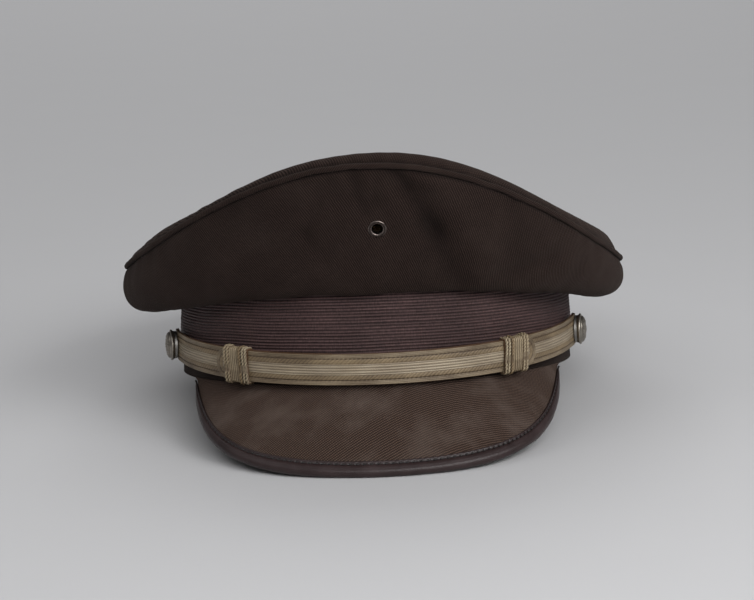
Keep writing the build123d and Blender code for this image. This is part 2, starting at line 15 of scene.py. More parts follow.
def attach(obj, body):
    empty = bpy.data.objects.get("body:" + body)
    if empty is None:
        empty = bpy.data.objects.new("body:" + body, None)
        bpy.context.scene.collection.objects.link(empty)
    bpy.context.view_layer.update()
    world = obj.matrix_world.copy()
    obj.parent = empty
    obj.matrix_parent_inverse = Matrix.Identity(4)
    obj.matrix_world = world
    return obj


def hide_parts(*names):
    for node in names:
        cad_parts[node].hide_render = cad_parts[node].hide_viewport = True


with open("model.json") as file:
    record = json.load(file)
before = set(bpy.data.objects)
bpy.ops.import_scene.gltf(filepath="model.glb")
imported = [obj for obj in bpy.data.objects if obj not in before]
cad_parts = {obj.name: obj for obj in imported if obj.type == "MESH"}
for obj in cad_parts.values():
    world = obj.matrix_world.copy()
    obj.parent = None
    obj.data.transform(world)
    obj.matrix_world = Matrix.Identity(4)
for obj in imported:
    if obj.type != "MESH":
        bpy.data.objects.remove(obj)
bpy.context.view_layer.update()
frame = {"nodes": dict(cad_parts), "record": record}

# ---- Driving sizes, in mm and degrees, the same as the CAD model's ---------------------------

HEAD_X, HEAD_Y = 85.7, 95.7
BAND_HEIGHT, BAND_LEAN = 40.0, 2.4
SWEATBAND, SWEATBAND_HEIGHT = 1.0, 34.0
STIFFENER_IN = 4.0
CLOTH_IN, CLOTH_OUT = 5.3, 6.1
BRAID_IN, BAND_OUT = 6.2, 7.8
CLOTH_STRIP = 5.0
RIBS = 26

CROWN_X, CROWN_Y = 116.5, 129.0
CROWN_CLOTH, LINING = 1.0, 0.5
EDGE_MEAN, EDGE_WAVES, EDGE_TILT = 61.0, (17.4, 14.25, 3.5), 2.6
CROWN_LEAN = 0.033
SIDE_SEAM = 98.0
PIPING_RADIUS = 1.3
TOP_REACH, TOP_LIFT, TOP_PUFF, TOP_PUFF_POWER = 0.99, -0.3, 8.2, 44
CANVAS, CANVAS_HALF_ANGLE, CANVAS_SHARES = 0.8, 34.0, (0.05, 0.95)
STAY, STAY_ANGLES, STAY_SHARES = 0.7, (3.6, 7.4), (0.06, 0.93)
CANVAS_IN, STAY_IN, LINING_IN = -1.9, -2.7, -3.5
PANEL_HOLE, LINING_HOLE = 2.95, 6.0  # radii of the holes behind the badge eyelet

VISOR_END, VISOR_HALF_WIDTH, VISOR_SQUARENESS = 69.0, 82.3, 0.044
VISOR_ROOT_Y, VISOR_REACH = 40.0, 95.0
VISOR_DROP, VISOR_DROP_AT_BAND, VISOR_BOW = 33.5, 0.3, 0.03
VISOR_COVER, VISOR_UNDERSIDE, VISOR_THICKNESS = 0.7, 0.5, 2.4
VISOR_SPAN = 0.95
BINDING, BINDING_LAP, BINDING_PLAY = 0.9, 4.4, 0.1

STRAP_RADIUS, STRAP_LEATHER, STRAP_LACE, STRAP_PLAY = 92.3, 0.5, 0.6, 0.05
STRAP_WIDTH, STRAP_END, STRAP_INNER_END = 14.0, 82.5, 12.0
FRONT_STRAP_END = 45.0
SLIDE_ANGLE = 40.5
BUTTON_ANGLE = 80.5
BUTTON_RADIUS, BUTTON_DOME, BUTTON_STAND, BUTTON_BACK = 7.15, 2.9, 1.8, 1.8

# ---- Frames ----------------------------------------------------------------------------------

SIDES = {"left": 1, "right": -1}
MOUNTS = {mount["name"]: mount for mount in frame["record"]["mounts"]}
JOINTS = {joint["name"]: joint for joint in frame["record"]["behaviour"]["joints"]}
RIGHTWARDS, UPWARDS = (1, 0, 0), (0, 0, 1)


def frame_from(place, x_hint, turned_over=False):
    """A mount's or joint's frame, in metres, with Z along its axis and X near a direction."""
    z = Vector(place["axis"]).normalized() * (-1 if turned_over else 1)
    y = z.cross(Vector(x_hint)).normalized()
    matrix = Matrix((y.cross(z), y, z)).transposed().to_4x4()
    matrix.translation = Vector(place["pos_m"])
    return matrix


STAND = frame_from(MOUNTS["head_opening"], RIGHTWARDS, turned_over=True)
EYELET_FRAME = frame_from(MOUNTS["badge_eyelet"], RIGHTWARDS)
STRAP_FRAME = frame_from(JOINTS["slide_right_travel"], RIGHTWARDS)
BUTTON_FRAMES = {side: frame_from(JOINTS[f"button_{side}_turn"], UPWARDS) for side in SIDES}


def placed(points, matrix):
    """Points in mm in a frame, as an array in metres in the model's frame."""
    m = np.array(matrix)
    return np.asarray(points, float) / 1000 @ m[:3, :3].T + m[:3, 3]


# ---- Mesh building ---------------------------------------------------------------------------

ON_AXIS = 0.001  # radius of a turned profile's points on its axis


class Shape:
    """Points and faces gathered from several patches, with each point's place on its cloth (weave)
    and its tone: 1 in the open, near 0 in creases and hollows, where most materials paint shade into their
    colour."""

    def __init__(self):
        self.points, self.faces, self.weave, self.tone = [], [], [], []
        self.count = 0

    def add(self, points, faces, weave, tone=None):
        points = np.asarray(points, float).reshape(-1, 3)
        self.points.append(points)
        self.faces += [tuple(int(i) + self.count for i in face) for face in faces]
        self.weave.append(np.asarray(weave, float).reshape(-1, 3))
        self.tone.append(np.ones(len(points)) if tone is None else np.asarray(tone, float).reshape(-1))
        self.count += len(points)
        return self


def grid_faces(rows, columns, wrap_rows=False, wrap_columns=False):
    """Quads of a grid of points, stored row by row."""
    i = np.arange(rows if wrap_rows else rows - 1)
    j = np.arange(columns if wrap_columns else columns - 1)
    i, j = np.meshgrid(i, j, indexing="ij")
    i_next, j_next = (i + 1) % rows, (j + 1) % columns
    corners = [i * columns + j, i_next * columns + j, i_next * columns + j_next, i * columns + j_next]
    return np.stack(corners, -1).reshape(-1, 4).tolist()


def sheet(shape, outer, inner, weave, tone=None):
    """Adds a closed sheet between two grids of points."""
    rows, columns = outer.shape[:2]
    size = rows * columns
    faces = grid_faces(rows, columns)
    faces += [[corner + size for corner in reversed(face)] for face in faces]
    border = [(i * columns + j, (i + 1) * columns + j) for i in range(rows - 1) for j in (0, columns - 1)]
    border += [(i * columns + j, i * columns + j + 1) for i in (0, rows - 1) for j in range(columns - 1)]
    faces += [[a, b, b + size, a + size] for a, b in border]
    tones = None if tone is None else np.stack([tone, tone])
    return shape.add(np.stack([outer, inner]), faces, np.stack([weave, weave]), tones)


def unit(vectors):
    """Vectors of length 1 that point the same way."""
    return vectors / np.linalg.norm(vectors, axis=-1, keepdims=True)


def level(points):
    """Unit vectors that point straight out from the middle, level with the band."""
    return unit(points * np.array([1, 1, 0]))


def bell(distance, width):
    """1 at no distance, falling smoothly to 0 on both sides."""
    return np.exp(-((distance / width) ** 2))


def side_axes(path, closed, up):
    """Two unit vectors square to a path: the first as near to up as may be."""
    if closed:
        along = np.roll(path, -1, 0) - np.roll(path, 1, 0)
    else:
        along = np.gradient(path, axis=0)
    along = unit(along)
    across = unit(np.cross(along, np.broadcast_to(np.asarray(up, float), path.shape)))
    return unit(np.cross(across, along)), across


def tube(shape, path, radius, up, sides=8, closed=False, weave_layer=0.0, bundle=None, tone_at=None):
    """Adds a round cord along a path. With the line and reach of the bundle that it belongs to, its
    tone is low in the hollows between one bundle and the next, as painted shade. Or tone_at(offsets)
    gives its tone from each point's offset from the path."""
    first, second = side_axes(path, closed, up)
    radius = np.broadcast_to(np.asarray(radius, float), len(path))[:, None, None]
    turn = np.linspace(0, 2 * np.pi, sides, endpoint=False)
    ring = np.cos(turn)[None, :, None] * first[:, None] + np.sin(turn)[None, :, None] * second[:, None]
    points = path[:, None] + radius * ring
    steps = np.linalg.norm(np.diff(path, axis=0), axis=1)
    along = np.concatenate([[0], np.cumsum(steps)])
    faces = grid_faces(len(path), sides, wrap_rows=closed, wrap_columns=True)
    if not closed:
        faces.append(list(range(sides)))
        faces.append(list(range(len(path) * sides - sides, len(path) * sides)))
    u, v = np.meshgrid(along, turn * float(np.mean(radius)), indexing="ij")
    tones = None
    if tone_at is not None:
        tones = tone_at(radius * ring)
    elif bundle is not None:
        line, reach = bundle
        # Painted shade: the tone falls towards the bundle's line, in the hollows between bundles.
        tones = np.clip(np.abs(np.sum((points - line[:, None]) * second[:, None], -1)) / reach, 0, 1)
    return shape.add(points, faces, np.stack([u, v, np.full_like(u, weave_layer)], -1), tones)


LAY_PITCH = 3.2  # length of one turn of a laid cord's strands
STRAND_REACH, STRAND_RADIUS = 0.44, 0.62  # shares of the laid cord's radius


def laid_loop(shape, path, radius, up, weave_layer):
    """Adds a closed cord laid up from two strands that turn round the path."""
    first, second = side_axes(path, True, up)
    steps = np.linalg.norm(np.diff(np.concatenate([path, path[:1]]), axis=0), axis=1)
    total = steps.sum()
    along = np.concatenate([[0], np.cumsum(steps)])[: len(path)]
    turns = max(round(total / LAY_PITCH), 1)
    for start in (0, 0.5):
        angle = 2 * np.pi * (turns * along / total + start)
        offset = np.cos(angle)[:, None] * first + np.sin(angle)[:, None] * second
        strand = path + radius * STRAND_REACH * offset
        tube(shape, strand, radius * STRAND_RADIUS, up, 8, True, weave_layer, (path, radius))


def lathe(shape, profile, steps, surface=None):
    """Adds a solid of revolution about Z from its (radius, height) points, which start and end on
    the axis or meet each other. surface(angle, radius, height) gives its lift and its tone."""
    profile = np.asarray(profile, float)
    turn = np.linspace(0, 2 * np.pi, steps, endpoint=False)
    radius, angle = np.meshgrid(profile[:, 0], turn, indexing="ij")
    height = np.broadcast_to(profile[:, 1][:, None], radius.shape)
    lift, tone = surface(angle, radius, height) if surface else (0.0, None)
    points = np.stack([radius * np.cos(angle), radius * np.sin(angle), height + lift], -1)
    return shape.add(points, grid_faces(len(profile), steps, wrap_columns=True), points, tone)


def stitch(shape, start, end, radius, up, sag):
    """Adds one stitch: a short thread with tapered ends that dips at both."""
    share = np.array([0.0, 0.06, 0.2, 0.5, 0.8, 0.94, 1.0])
    girth = np.array([0.25, 0.7, 1.0, 1.0, 1.0, 0.7, 0.25])
    path = np.asarray(start) + (np.asarray(end) - np.asarray(start)) * share[:, None]
    path = path - np.asarray(up, float) * (sag * (2 * share - 1) ** 2)[:, None]
    tube(shape, path, radius * girth, up, sides=6)


def close_up(mesh, merge):
    """Makes one of a mesh's points that are nearer to each other than merge, in mm, and turns its
    faces outwards."""
    work = bmesh.new()
    work.from_mesh(mesh)
    if merge:
        bmesh.ops.remove_doubles(work, verts=work.verts, dist=merge / 1000)
    bmesh.ops.recalc_face_normals(work, faces=work.faces)
    work.to_mesh(mesh)
    work.free()


def make_object(name, shape, material, replaces=(), body="cap", matrix=STAND, merge=0.0):
    """Turns a shape into an object that rides on a body and stands for some CAD nodes."""
    mesh = bpy.data.meshes.new(name)
    mesh.from_pydata(placed(np.concatenate(shape.points), matrix).tolist(), [], shape.faces)
    weave = mesh.attributes.new("weave", "FLOAT_VECTOR", "POINT")
    weave.data.foreach_set("vector", np.concatenate(shape.weave).ravel())
    tone = mesh.attributes.new("tone", "FLOAT", "POINT")
    tone.data.foreach_set("value", np.concatenate(shape.tone).ravel())
    close_up(mesh, merge)
    mesh.shade_smooth()
    mesh.materials.append(MATERIALS[material])
    piece = bpy.data.objects.new(name, mesh)
    bpy.context.scene.collection.objects.link(piece)
    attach(piece, body)
    if replaces:
        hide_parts(*replaces)
    return piece


# ---- Material building -----------------------------------------------------------------------

MIX_COLOUR_SOCKETS = (0, 6, 7)
MIX_COLOUR_RESULT = 2


class Finish:
    """A Principled material and short ways to wire nodes into it."""

    def __init__(self, name, specular=0.5, sheen_tint=(1, 1, 1), **sockets):
        self.material = bpy.data.materials.new(name)
        self.material.use_nodes = True
        self.tree = self.material.node_tree
        self.shader = self.tree.nodes["Principled BSDF"]
        self.shader.inputs["Specular IOR Level"].default_value = specular
        self.shader.inputs["Sheen Tint"].default_value = (*sheen_tint, 1)
        for socket, value in sockets.items():
            self.shader.inputs[socket.replace("_", " ")].default_value = value

    def node(self, kind, inputs=(), **settings):
        """Adds a node with its settings, then links or sets its inputs."""
        node = self.tree.nodes.new(kind)
        for key, value in settings.items():
            setattr(node, key, value)
        for socket, value in dict(inputs).items():
            self.feed(node.inputs[socket], value)
        return node

    def feed(self, socket, value):
        """Links a socket to another node's output, or sets it to a constant."""
        if isinstance(value, bpy.types.NodeSocket):
            self.tree.links.new(value, socket)
        else:
            socket.default_value = value

    def weave(self):
        return self.node("ShaderNodeAttribute", attribute_name="weave").outputs["Vector"]

    # The tone attribute, which paints shade into creases and hollows.
    def tone(self):
        return self.node("ShaderNodeAttribute", attribute_name="tone").outputs["Fac"]

    def object_mm(self):
        """Object coordinates in mm."""
        coordinates = self.node("ShaderNodeTexCoord").outputs["Object"]
        node = self.node("ShaderNodeVectorMath", {0: coordinates, "Scale": 1000}, operation="SCALE")
        return node.outputs[0]

    def dot(self, vector, direction):
        node = self.node("ShaderNodeVectorMath", {0: vector, 1: direction}, operation="DOT_PRODUCT")
        return node.outputs["Value"]

    def stretch(self, vector, scale):
        return self.node("ShaderNodeVectorMath", {0: vector, 1: scale}, operation="MULTIPLY").outputs[0]

    def math(self, operation, a, b=0.0, clamp=False):
        return self.node("ShaderNodeMath", {0: a, 1: b}, operation=operation, use_clamp=clamp).outputs[0]

    def times(self, a, b):
        return self.math("MULTIPLY", a, b)

    def sine(self, phase):
        """A sine wave from 0 to 1, one turn for each unit of phase."""
        return self.remap(self.math("SINE", self.times(phase, 2 * np.pi)), -1, 1, 0, 1)

    def remap(self, value, low, high, new_low, new_high):
        settings = enumerate((value, low, high, new_low, new_high))
        return self.node("ShaderNodeMapRange", settings).outputs[0]

    def noise(self, vector, scale, detail=3.0, roughness=0.55):
        inputs = {"Vector": vector, "Scale": scale, "Detail": detail, "Roughness": roughness}
        return self.node("ShaderNodeTexNoise", inputs).outputs["Fac"]

    def voronoi(self, vector, scale):
        return self.node("ShaderNodeTexVoronoi", {"Vector": vector, "Scale": scale}).outputs["Distance"]

    def mix(self, factor, a, b):
        values = [factor] + [(*colour, 1) if isinstance(colour, tuple) else colour for colour in (a, b)]
        node = self.node("ShaderNodeMix", zip(MIX_COLOUR_SOCKETS, values), data_type="RGBA")
        return node.outputs[MIX_COLOUR_RESULT]

    def colour(self, value):
        self.feed(self.shader.inputs["Base Color"], value)

    def roughness(self, value):
        self.feed(self.shader.inputs["Roughness"], value)

    def bump(self, height, depth_mm, strength=1.0):
        """Bumps the surface by a height from 0 to 1 that stands for a depth in mm."""
        inputs = {"Height": height, "Strength": strength, "Distance": depth_mm / 1000}
        node = self.node("ShaderNodeBump", inputs)
        normal = self.shader.inputs["Normal"]
        if normal.links:
            self.feed(node.inputs["Normal"], normal.links[0].from_socket)
        self.feed(normal, node.outputs["Normal"])


def twill(name, low, high, dust, wale=(0.98, 0.5), dust_amount=0.2, threads=None):
    """Wool twill: diagonal wales of the given turns per mm across and up the cloth. threads is the
    colour of the odd brighter thread. The colour is darker in the hollows between wales, partly as
    painted shade of their relief, and falls to low where the tone is low, as painted shade."""
    look = {"Roughness": 0.9, "Sheen_Weight": 0.06, "Sheen_Roughness": 0.5}
    finish = Finish(name, 0.12, (0.75, 0.58, 0.50), **look)
    weave = finish.weave()
    waver = finish.noise(weave, 0.35, 2.0)
    wales = finish.sine(finish.math("ADD", finish.dot(weave, (*wale, 0)), finish.times(waver, 0.6)))
    beads = finish.sine(finish.dot(weave, (-wale[1] * 1.3, wale[0] * 1.3, 0)))
    height = finish.times(wales, finish.remap(beads, 0, 1, 0.45, 1))
    fuzz = finish.noise(weave, 5.0, 3.0)
    # The wales' relief is painted into the colour: partly painted shade in the hollows between them.
    crests = finish.math("POWER", height, 1.5)
    shade = finish.math("ADD", finish.times(crests, 1.1), finish.times(fuzz, 0.15))
    cloth = finish.mix(shade, low, high)
    if threads:
        odd = finish.remap(finish.noise(weave, 1.3, 3.0, 0.7), 0.52, 0.72, 0, 1)
        cloth = finish.mix(finish.times(odd, height), cloth, threads)
    wear = finish.remap(finish.noise(weave, 0.045, 4.0, 0.6), 0.45, 0.75, 0, dust_amount)
    fleck = finish.remap(finish.noise(weave, 0.8, 2.0), 0.74, 0.82, 0, 0.5)
    colour_marks = finish.math("MAXIMUM", wear, finish.times(fleck, finish.noise(weave, 0.08)))
    # Painted shade: the colour falls to low where the tone is low.
    finish.colour(finish.mix(finish.tone(), low, finish.mix(colour_marks, cloth, dust)))
    finish.bump(height, 0.3, 0.9)
    finish.bump(fuzz, 0.12, 0.4)
    return finish.material


def mohair(name, low, high):
    """Ribbed braid: fine threads across each rib, and a satin sheen. Its colour falls to low where its
    tone is low, as painted shade in the grooves between ribs.
    """
    look = {"Roughness": 0.5, "Sheen_Weight": 0.12, "Sheen_Roughness": 0.35}
    finish = Finish(name, 0.25, (0.8, 0.58, 0.60), **look)
    weave = finish.weave()
    thread = finish.sine(finish.dot(weave, (1.9, 1.1, 0)))
    cross = finish.noise(finish.stretch(weave, (1.5, 0.5, 1)), 1.0, 3.0)
    along = finish.noise(finish.stretch(weave, (0.02, 0.9, 1)), 1.0, 2.0)
    patch = finish.noise(weave, 0.03, 3.0)
    # Painted shade: the tone darkens the grooves between ribs.
    shade = finish.times(finish.tone(), finish.remap(cross, 0.3, 0.7, 0.45, 1.15))
    for variation in (along, patch):
        shade = finish.times(shade, finish.remap(variation, 0.3, 0.7, 0.7, 1.15))
    finish.colour(finish.mix(shade, low, high))
    finish.bump(thread, 0.09, 0.8)
    finish.bump(cross, 0.12, 0.6)
    return finish.material


def leather(name, low, high, roughness, grain=0.9, depth=0.10, painted_hollow_shade=None):
    """Leather with a fine grain and high spots lightened by wear, of a painted shade colour where its
    tone is low.
    """
    finish = Finish(name, 0.35, Roughness=roughness)
    mm = finish.object_mm()
    pores = finish.voronoi(mm, grain * 1.6)
    cloud = finish.noise(mm, 0.08, 4.0, 0.6)
    fine = finish.noise(mm, grain * 2.5, 4.0)
    colour = finish.mix(finish.remap(cloud, 0.3, 0.75, 0, 1), low, high)
    # Painted shade: the colour falls to the shade colour where the tone is low.
    if painted_hollow_shade:
        colour = finish.mix(finish.tone(), painted_hollow_shade, colour)
    finish.colour(colour)
    scuffs = finish.math("ADD", fine, cloud)
    finish.roughness(finish.remap(scuffs, 0.6, 1.4, roughness - 0.1, roughness + 0.15))
    finish.bump(pores, depth, 0.6)
    finish.bump(fine, depth, 0.4)
    return finish.material


def metal_lace(name, pale, golden, tarnish_and_shade):
    """Tarnished metal thread: pale on the raised cords, golden in the braids, brown in tarnished
    patches, and of the same brown in its hollows as painted shade. The weave's third coordinate is
    the lace's zone: edge, braid, then cords."""
    finish = Finish(name, Roughness=0.5, Metallic=0.15)
    weave = finish.weave()
    flat = finish.stretch(weave, (1, 1, 0))
    zone = finish.dot(weave, (0, 0, 1))
    cords = finish.remap(zone, 1.2, 1.8, 0, 1)
    edges = finish.remap(zone, 0.2, 0.8, 0.45, 0)
    streak = finish.noise(finish.stretch(flat, (0.06, 1.8, 1)), 1.0, 3.0)
    patch = finish.noise(finish.stretch(flat, (0.05, 0.14, 1)), 1.0, 3.0, 0.6)
    thread = finish.noise(finish.stretch(flat, (3.5, 3.5, 1)), 1.0, 2.0)
    silver = finish.times(finish.math("MAXIMUM", cords, edges), finish.remap(streak, 0.3, 0.6, 0.5, 1))
    age = finish.times(finish.remap(patch, 0.38, 0.66, 0.0, 0.6), finish.remap(cords, 0, 1, 1, 0.5))
    # Painted shade: the hollows take the same brown as the tarnished patches.
    painted_hollow_shade = finish.remap(finish.tone(), 0.1, 0.85, 1.0, 0.0)
    amount = finish.math("ADD", age, painted_hollow_shade, clamp=True)
    aged_and_shaded = finish.mix(amount, finish.mix(silver, golden, pale), tarnish_and_shade)
    finish.colour(finish.mix(finish.remap(thread, 0.35, 0.75, 0.0, 0.45), aged_and_shaded, tarnish_and_shade))
    finish.bump(thread, 0.10, 0.7)
    return finish.material


def metal(name, bright, dark, roughness, hollows=True):
    """Metal that has dulled in patches and, if it has hollows, darkened where its tone is low, which
    paints shade into the hollows of the buttons' faces.
    """
    finish = Finish(name, Roughness=roughness, Metallic=1.0)
    mm = finish.object_mm()
    cloud = finish.noise(mm, 0.5, 4.0, 0.6)
    fine = finish.noise(mm, 4.5, 3.0)
    amount = finish.times(finish.remap(cloud, 0.3, 0.7, 1, 0.45), finish.remap(fine, 0.2, 0.8, 0.7, 1))
    # Painted shade: darker where the tone is low.
    if hollows:
        amount = finish.times(amount, finish.tone())
    finish.colour(finish.mix(amount, dark, bright))
    finish.roughness(finish.remap(cloud, 0.3, 0.7, roughness + 0.15, roughness))
    finish.bump(fine, 0.02, 0.4)
    return finish.material


def plain_weave(name, low, high, threads, depth, roughness=0.8, sheen=0.15):
    """Plain cloth: threads over and under each other, in turns per mm."""
    finish = Finish(name, Roughness=roughness, Sheen_Weight=sheen)
    weave = finish.weave()
    across, up = (finish.sine(finish.dot(weave, way)) for way in ((threads, 0, 0), (0, threads, 0)))
    height = finish.times(across, up)
    cloud = finish.remap(finish.noise(weave, 0.05, 4.0), 0.3, 0.7, 0.1, 0.6)
    finish.colour(finish.mix(finish.math("ADD", finish.times(height, 0.4), cloud), low, high))
    finish.bump(height, depth, 0.6)
    return finish.material


def fibre_board(name, low, high):
    """Pressed board, for the pieces hidden between cloth and leather."""
    finish = Finish(name, Roughness=0.9)
    fibres = finish.noise(finish.stretch(finish.object_mm(), (0.5, 0.5, 3.0)), 1.0, 4.0)
    finish.colour(finish.mix(fibres, low, high))
    finish.bump(fibres, 0.2, 0.5)
    return finish.material


def plain_floor(name, colour):
    """A matt floor with a faint grain."""
    finish = Finish(name, 0.1, Roughness=0.9)
    grain = finish.noise(finish.object_mm(), 0.02, 3.0)
    finish.colour(finish.mix(grain, colour, tuple(c * 0.985 for c in colour)))
    return finish.material


CROWN_LOW, CROWN_HIGH = (0.0036, 0.0019, 0.0016), (0.047, 0.0283, 0.0230)
MATERIALS = {
    "crown": twill("crown_twill", CROWN_LOW, CROWN_HIGH, (0.055, 0.038, 0.032)),
    "piping": twill("piping_twill", CROWN_LOW, CROWN_HIGH, (0.065, 0.046, 0.038), (0.9, 0.9)),
    "band_cloth": twill(
        "band_cloth", (0.007, 0.0045, 0.004), (0.034, 0.023, 0.019), (0.05, 0.037, 0.03)
    ),
    "visor": twill(
        "visor_twill",
        (0.012, 0.0072, 0.0056),
        (0.118, 0.077, 0.060),
        (0.140, 0.108, 0.092),
        wale=(-0.50, 0.80),
        dust_amount=0.5,
        threads=(0.125, 0.070, 0.040),
    ),
    "braid": mohair("mohair_braid", (0.003, 0.0016, 0.0016), (0.114, 0.066, 0.0635)),
    "binding": leather(
        "visor_binding_leather",
        (0.019, 0.0105, 0.0105),
        (0.040, 0.0245, 0.0245),
        0.4,
        # Painted shade colour for the stitch groove and the strip's edges.
        painted_hollow_shade=(0.003, 0.0018, 0.0018),
    ),
    "visor_lining": leather("visor_lining_leather", (0.030, 0.020, 0.015), (0.060, 0.040, 0.030), 0.5),
    "sweatband": leather("sweatband_leather", (0.14, 0.065, 0.028), (0.26, 0.135, 0.065), 0.4, 0.6),
    "strap_leather": leather("strap_leather", (0.07, 0.032, 0.015), (0.14, 0.070, 0.035), 0.5),
    # The last colour of each metal lace is used for its tarnished patches and for painted shade in its
    # hollows.
    "lace": metal_lace("chinstrap_lace", (0.41, 0.345, 0.25), (0.28, 0.207, 0.118), (0.08, 0.052, 0.029)),
    "slide_pale": metal_lace(
        "slide_cord_pale", (0.41, 0.345, 0.235), (0.36, 0.285, 0.175), (0.085, 0.05, 0.026)
    ),
    "slide_dark": metal_lace(
        "slide_cord_dark", (0.24, 0.17, 0.09), (0.20, 0.14, 0.075), (0.05, 0.03, 0.015)
    ),
    "button": metal("button_silver", (0.50, 0.46, 0.40), (0.07, 0.055, 0.042), 0.32),
    "steel": metal("plain_steel", (0.42, 0.41, 0.39), (0.20, 0.19, 0.17), 0.4, hollows=False),
    "eyelet": metal("eyelet_metal", (0.42, 0.35, 0.32), (0.02, 0.014, 0.012), 0.2),
    "washer": metal(
        "eyelet_washer_metal", (0.13, 0.10, 0.09), (0.02, 0.014, 0.012), 0.3, hollows=False
    ),
    "thread": plain_weave("dark_thread", (0.006, 0.0045, 0.0045), (0.020, 0.015, 0.014), 3.0, 0.05),
    "tan_thread": plain_weave("tan_thread", (0.20, 0.12, 0.06), (0.34, 0.23, 0.13), 3.0, 0.05),
    "reed": leather("sweatband_reed_oilcloth", (0.20, 0.12, 0.06), (0.30, 0.20, 0.11), 0.4),
    "lining": plain_weave(
        "lining_sateen", (0.085, 0.043, 0.019), (0.17, 0.095, 0.046), 2.2, 0.08, 0.5, 0.4
    ),
    "shield": leather("sweat_shield_oilcloth", (0.22, 0.14, 0.06), (0.33, 0.22, 0.11), 0.22, 0.4, 0.04),
    "canvas": plain_weave("front_canvas", (0.28, 0.22, 0.14), (0.50, 0.42, 0.30), 1.2, 0.3),
    "board": fibre_board("fibre_board", (0.22, 0.16, 0.10), (0.36, 0.28, 0.19)),
    "floor": plain_floor("studio_floor", (0.58, 0.58, 0.59)),
}

# ---- Surfaces shared by several pieces -------------------------------------------------------


def oval(offset, height):
    """Half axes of the band's oval, so far outside the head opening, at a height."""
    lean = BAND_LEAN * height / BAND_HEIGHT
    return HEAD_X + offset - lean, HEAD_Y + offset - lean


def on_oval(axes, angle, height):
    """Points of a level oval, at angles from the front."""
    across, along = axes
    return np.stack(np.broadcast_arrays(across * np.sin(angle), -along * np.cos(angle), height), -1)


BAND_TOP_X, BAND_TOP_Y = oval(BAND_OUT, BAND_HEIGHT)
OVERHANG = CROWN_X - BAND_TOP_X
OVERHANG_Y_SHARE = (CROWN_Y - BAND_TOP_Y) / OVERHANG


def edge_height(angle, reach=1.0):
    """Height of the crown's edge at an angle from the front, or of the stretched top inside it."""
    height = EDGE_MEAN - EDGE_TILT * reach * np.sin(angle)
    return height + sum(w * reach**n * np.cos(n * angle) for n, w in enumerate(EDGE_WAVES, start=1))


def leaned(points):
    """Points of the upright crown, carried sideways as the soft crown leans."""
    return points + CROWN_LEAN * (points[..., 2:] - BAND_HEIGHT) * np.array([1, 0, 0])


BAND_GAP, PIPING_GAP = 0.15, 0.25  # from the crown's wall to the band and to the piping


def wall_grid(angles, shares):
    """Points of the crown's wall at angles from the front, in degrees, and shares of its height."""
    t, s = np.meshgrid(np.radians(angles), shares, indexing="ij")
    top = edge_height(t) - PIPING_RADIUS - PIPING_GAP
    front = np.maximum(np.cos(t), 0) ** 2
    back = np.maximum(-np.cos(t), 0) ** 2
    # Control points of the wall's section: how far out from the band, and how high.
    profile = [
        (0.0, BAND_HEIGHT + BAND_GAP),
        (8.0 - 3.0 * front, 22.0 + 14.0 * front + 2.0 * back),
        (32.0 - 23.0 * front, 24.0 + 26.0 * front + 4.0 * back),
        (28.0 - 11.0 * front, top - 5.5 - 17.0 * front - back),
        (OVERHANG, top),
    ]
    weights = [(1 - s) ** 4, 4 * (1 - s) ** 3 * s, 6 * (1 - s) ** 2 * s**2, 4 * (1 - s) * s**3, s**4]
    out = sum(w * x for w, (x, _) in zip(weights, profile))
    height = sum(w * z for w, (_, z) in zip(weights, profile))
    return leaned(on_oval((BAND_TOP_X + out, BAND_TOP_Y + out * OVERHANG_Y_SHARE), t, height))


def outward_normals(grid):
    """Unit normals of a grid of the crown's wall, turned to point away from the crown's middle."""
    n = unit(np.cross(np.gradient(grid, axis=0), np.gradient(grid, axis=1)))
    return n * np.sign(np.sum(n * (grid - np.array([0, 0, EDGE_MEAN])), -1).mean())


def cloth_coordinates(grid):
    """Distances in mm along a grid's rows and columns, from its middle row and first column."""
    rows = np.linalg.norm(np.diff(grid, axis=0), axis=-1)
    u = np.concatenate([np.zeros((1, grid.shape[1])), np.cumsum(rows, axis=0)])
    u = np.broadcast_to(u.mean(1, keepdims=True), u.shape)
    columns = np.linalg.norm(np.diff(grid, axis=1), axis=-1)
    v = np.concatenate([np.zeros((grid.shape[0], 1)), np.cumsum(columns, axis=1)], axis=1)
    return np.stack([u - u[len(u) // 2], v, 0 * u], -1)


def flat(u, v):
    """Level points, or cloth coordinates, from their first two values."""
    return np.stack(np.broadcast_arrays(u, v, 0.0), -1)


def smooth_random(x, y, seed, scale, count=7):
    """A gentle random height field between about -1 and 1, as a sum of waves."""
    draw = np.random.default_rng(seed)
    total = 0.0
    for _ in range(count):
        heading = draw.uniform(0, 2 * np.pi)
        pace = 2 * np.pi / scale * draw.uniform(0.6, 1.6)
        wave = np.cos(heading) * x + np.sin(heading) * y
        total = total + np.sin(pace * wave + draw.uniform(0, 2 * np.pi))
    return total / np.sqrt(count)


def distance_to(x, y, route):
    """Distance of each point from a line of straight runs."""
    best = np.full(np.shape(x), np.inf)
    for (ax, ay), (bx, by) in zip(route, route[1:]):
        length = (bx - ax) ** 2 + (by - ay) ** 2
        share = np.clip(((x - ax) * (bx - ax) + (y - ay) * (by - ay)) / length, 0, 1)
        best = np.minimum(best, np.hypot(x - ax - share * (bx - ax), y - ay - share * (by - ay)))
    return best


# ---- Crown -----------------------------------------------------------------------------------

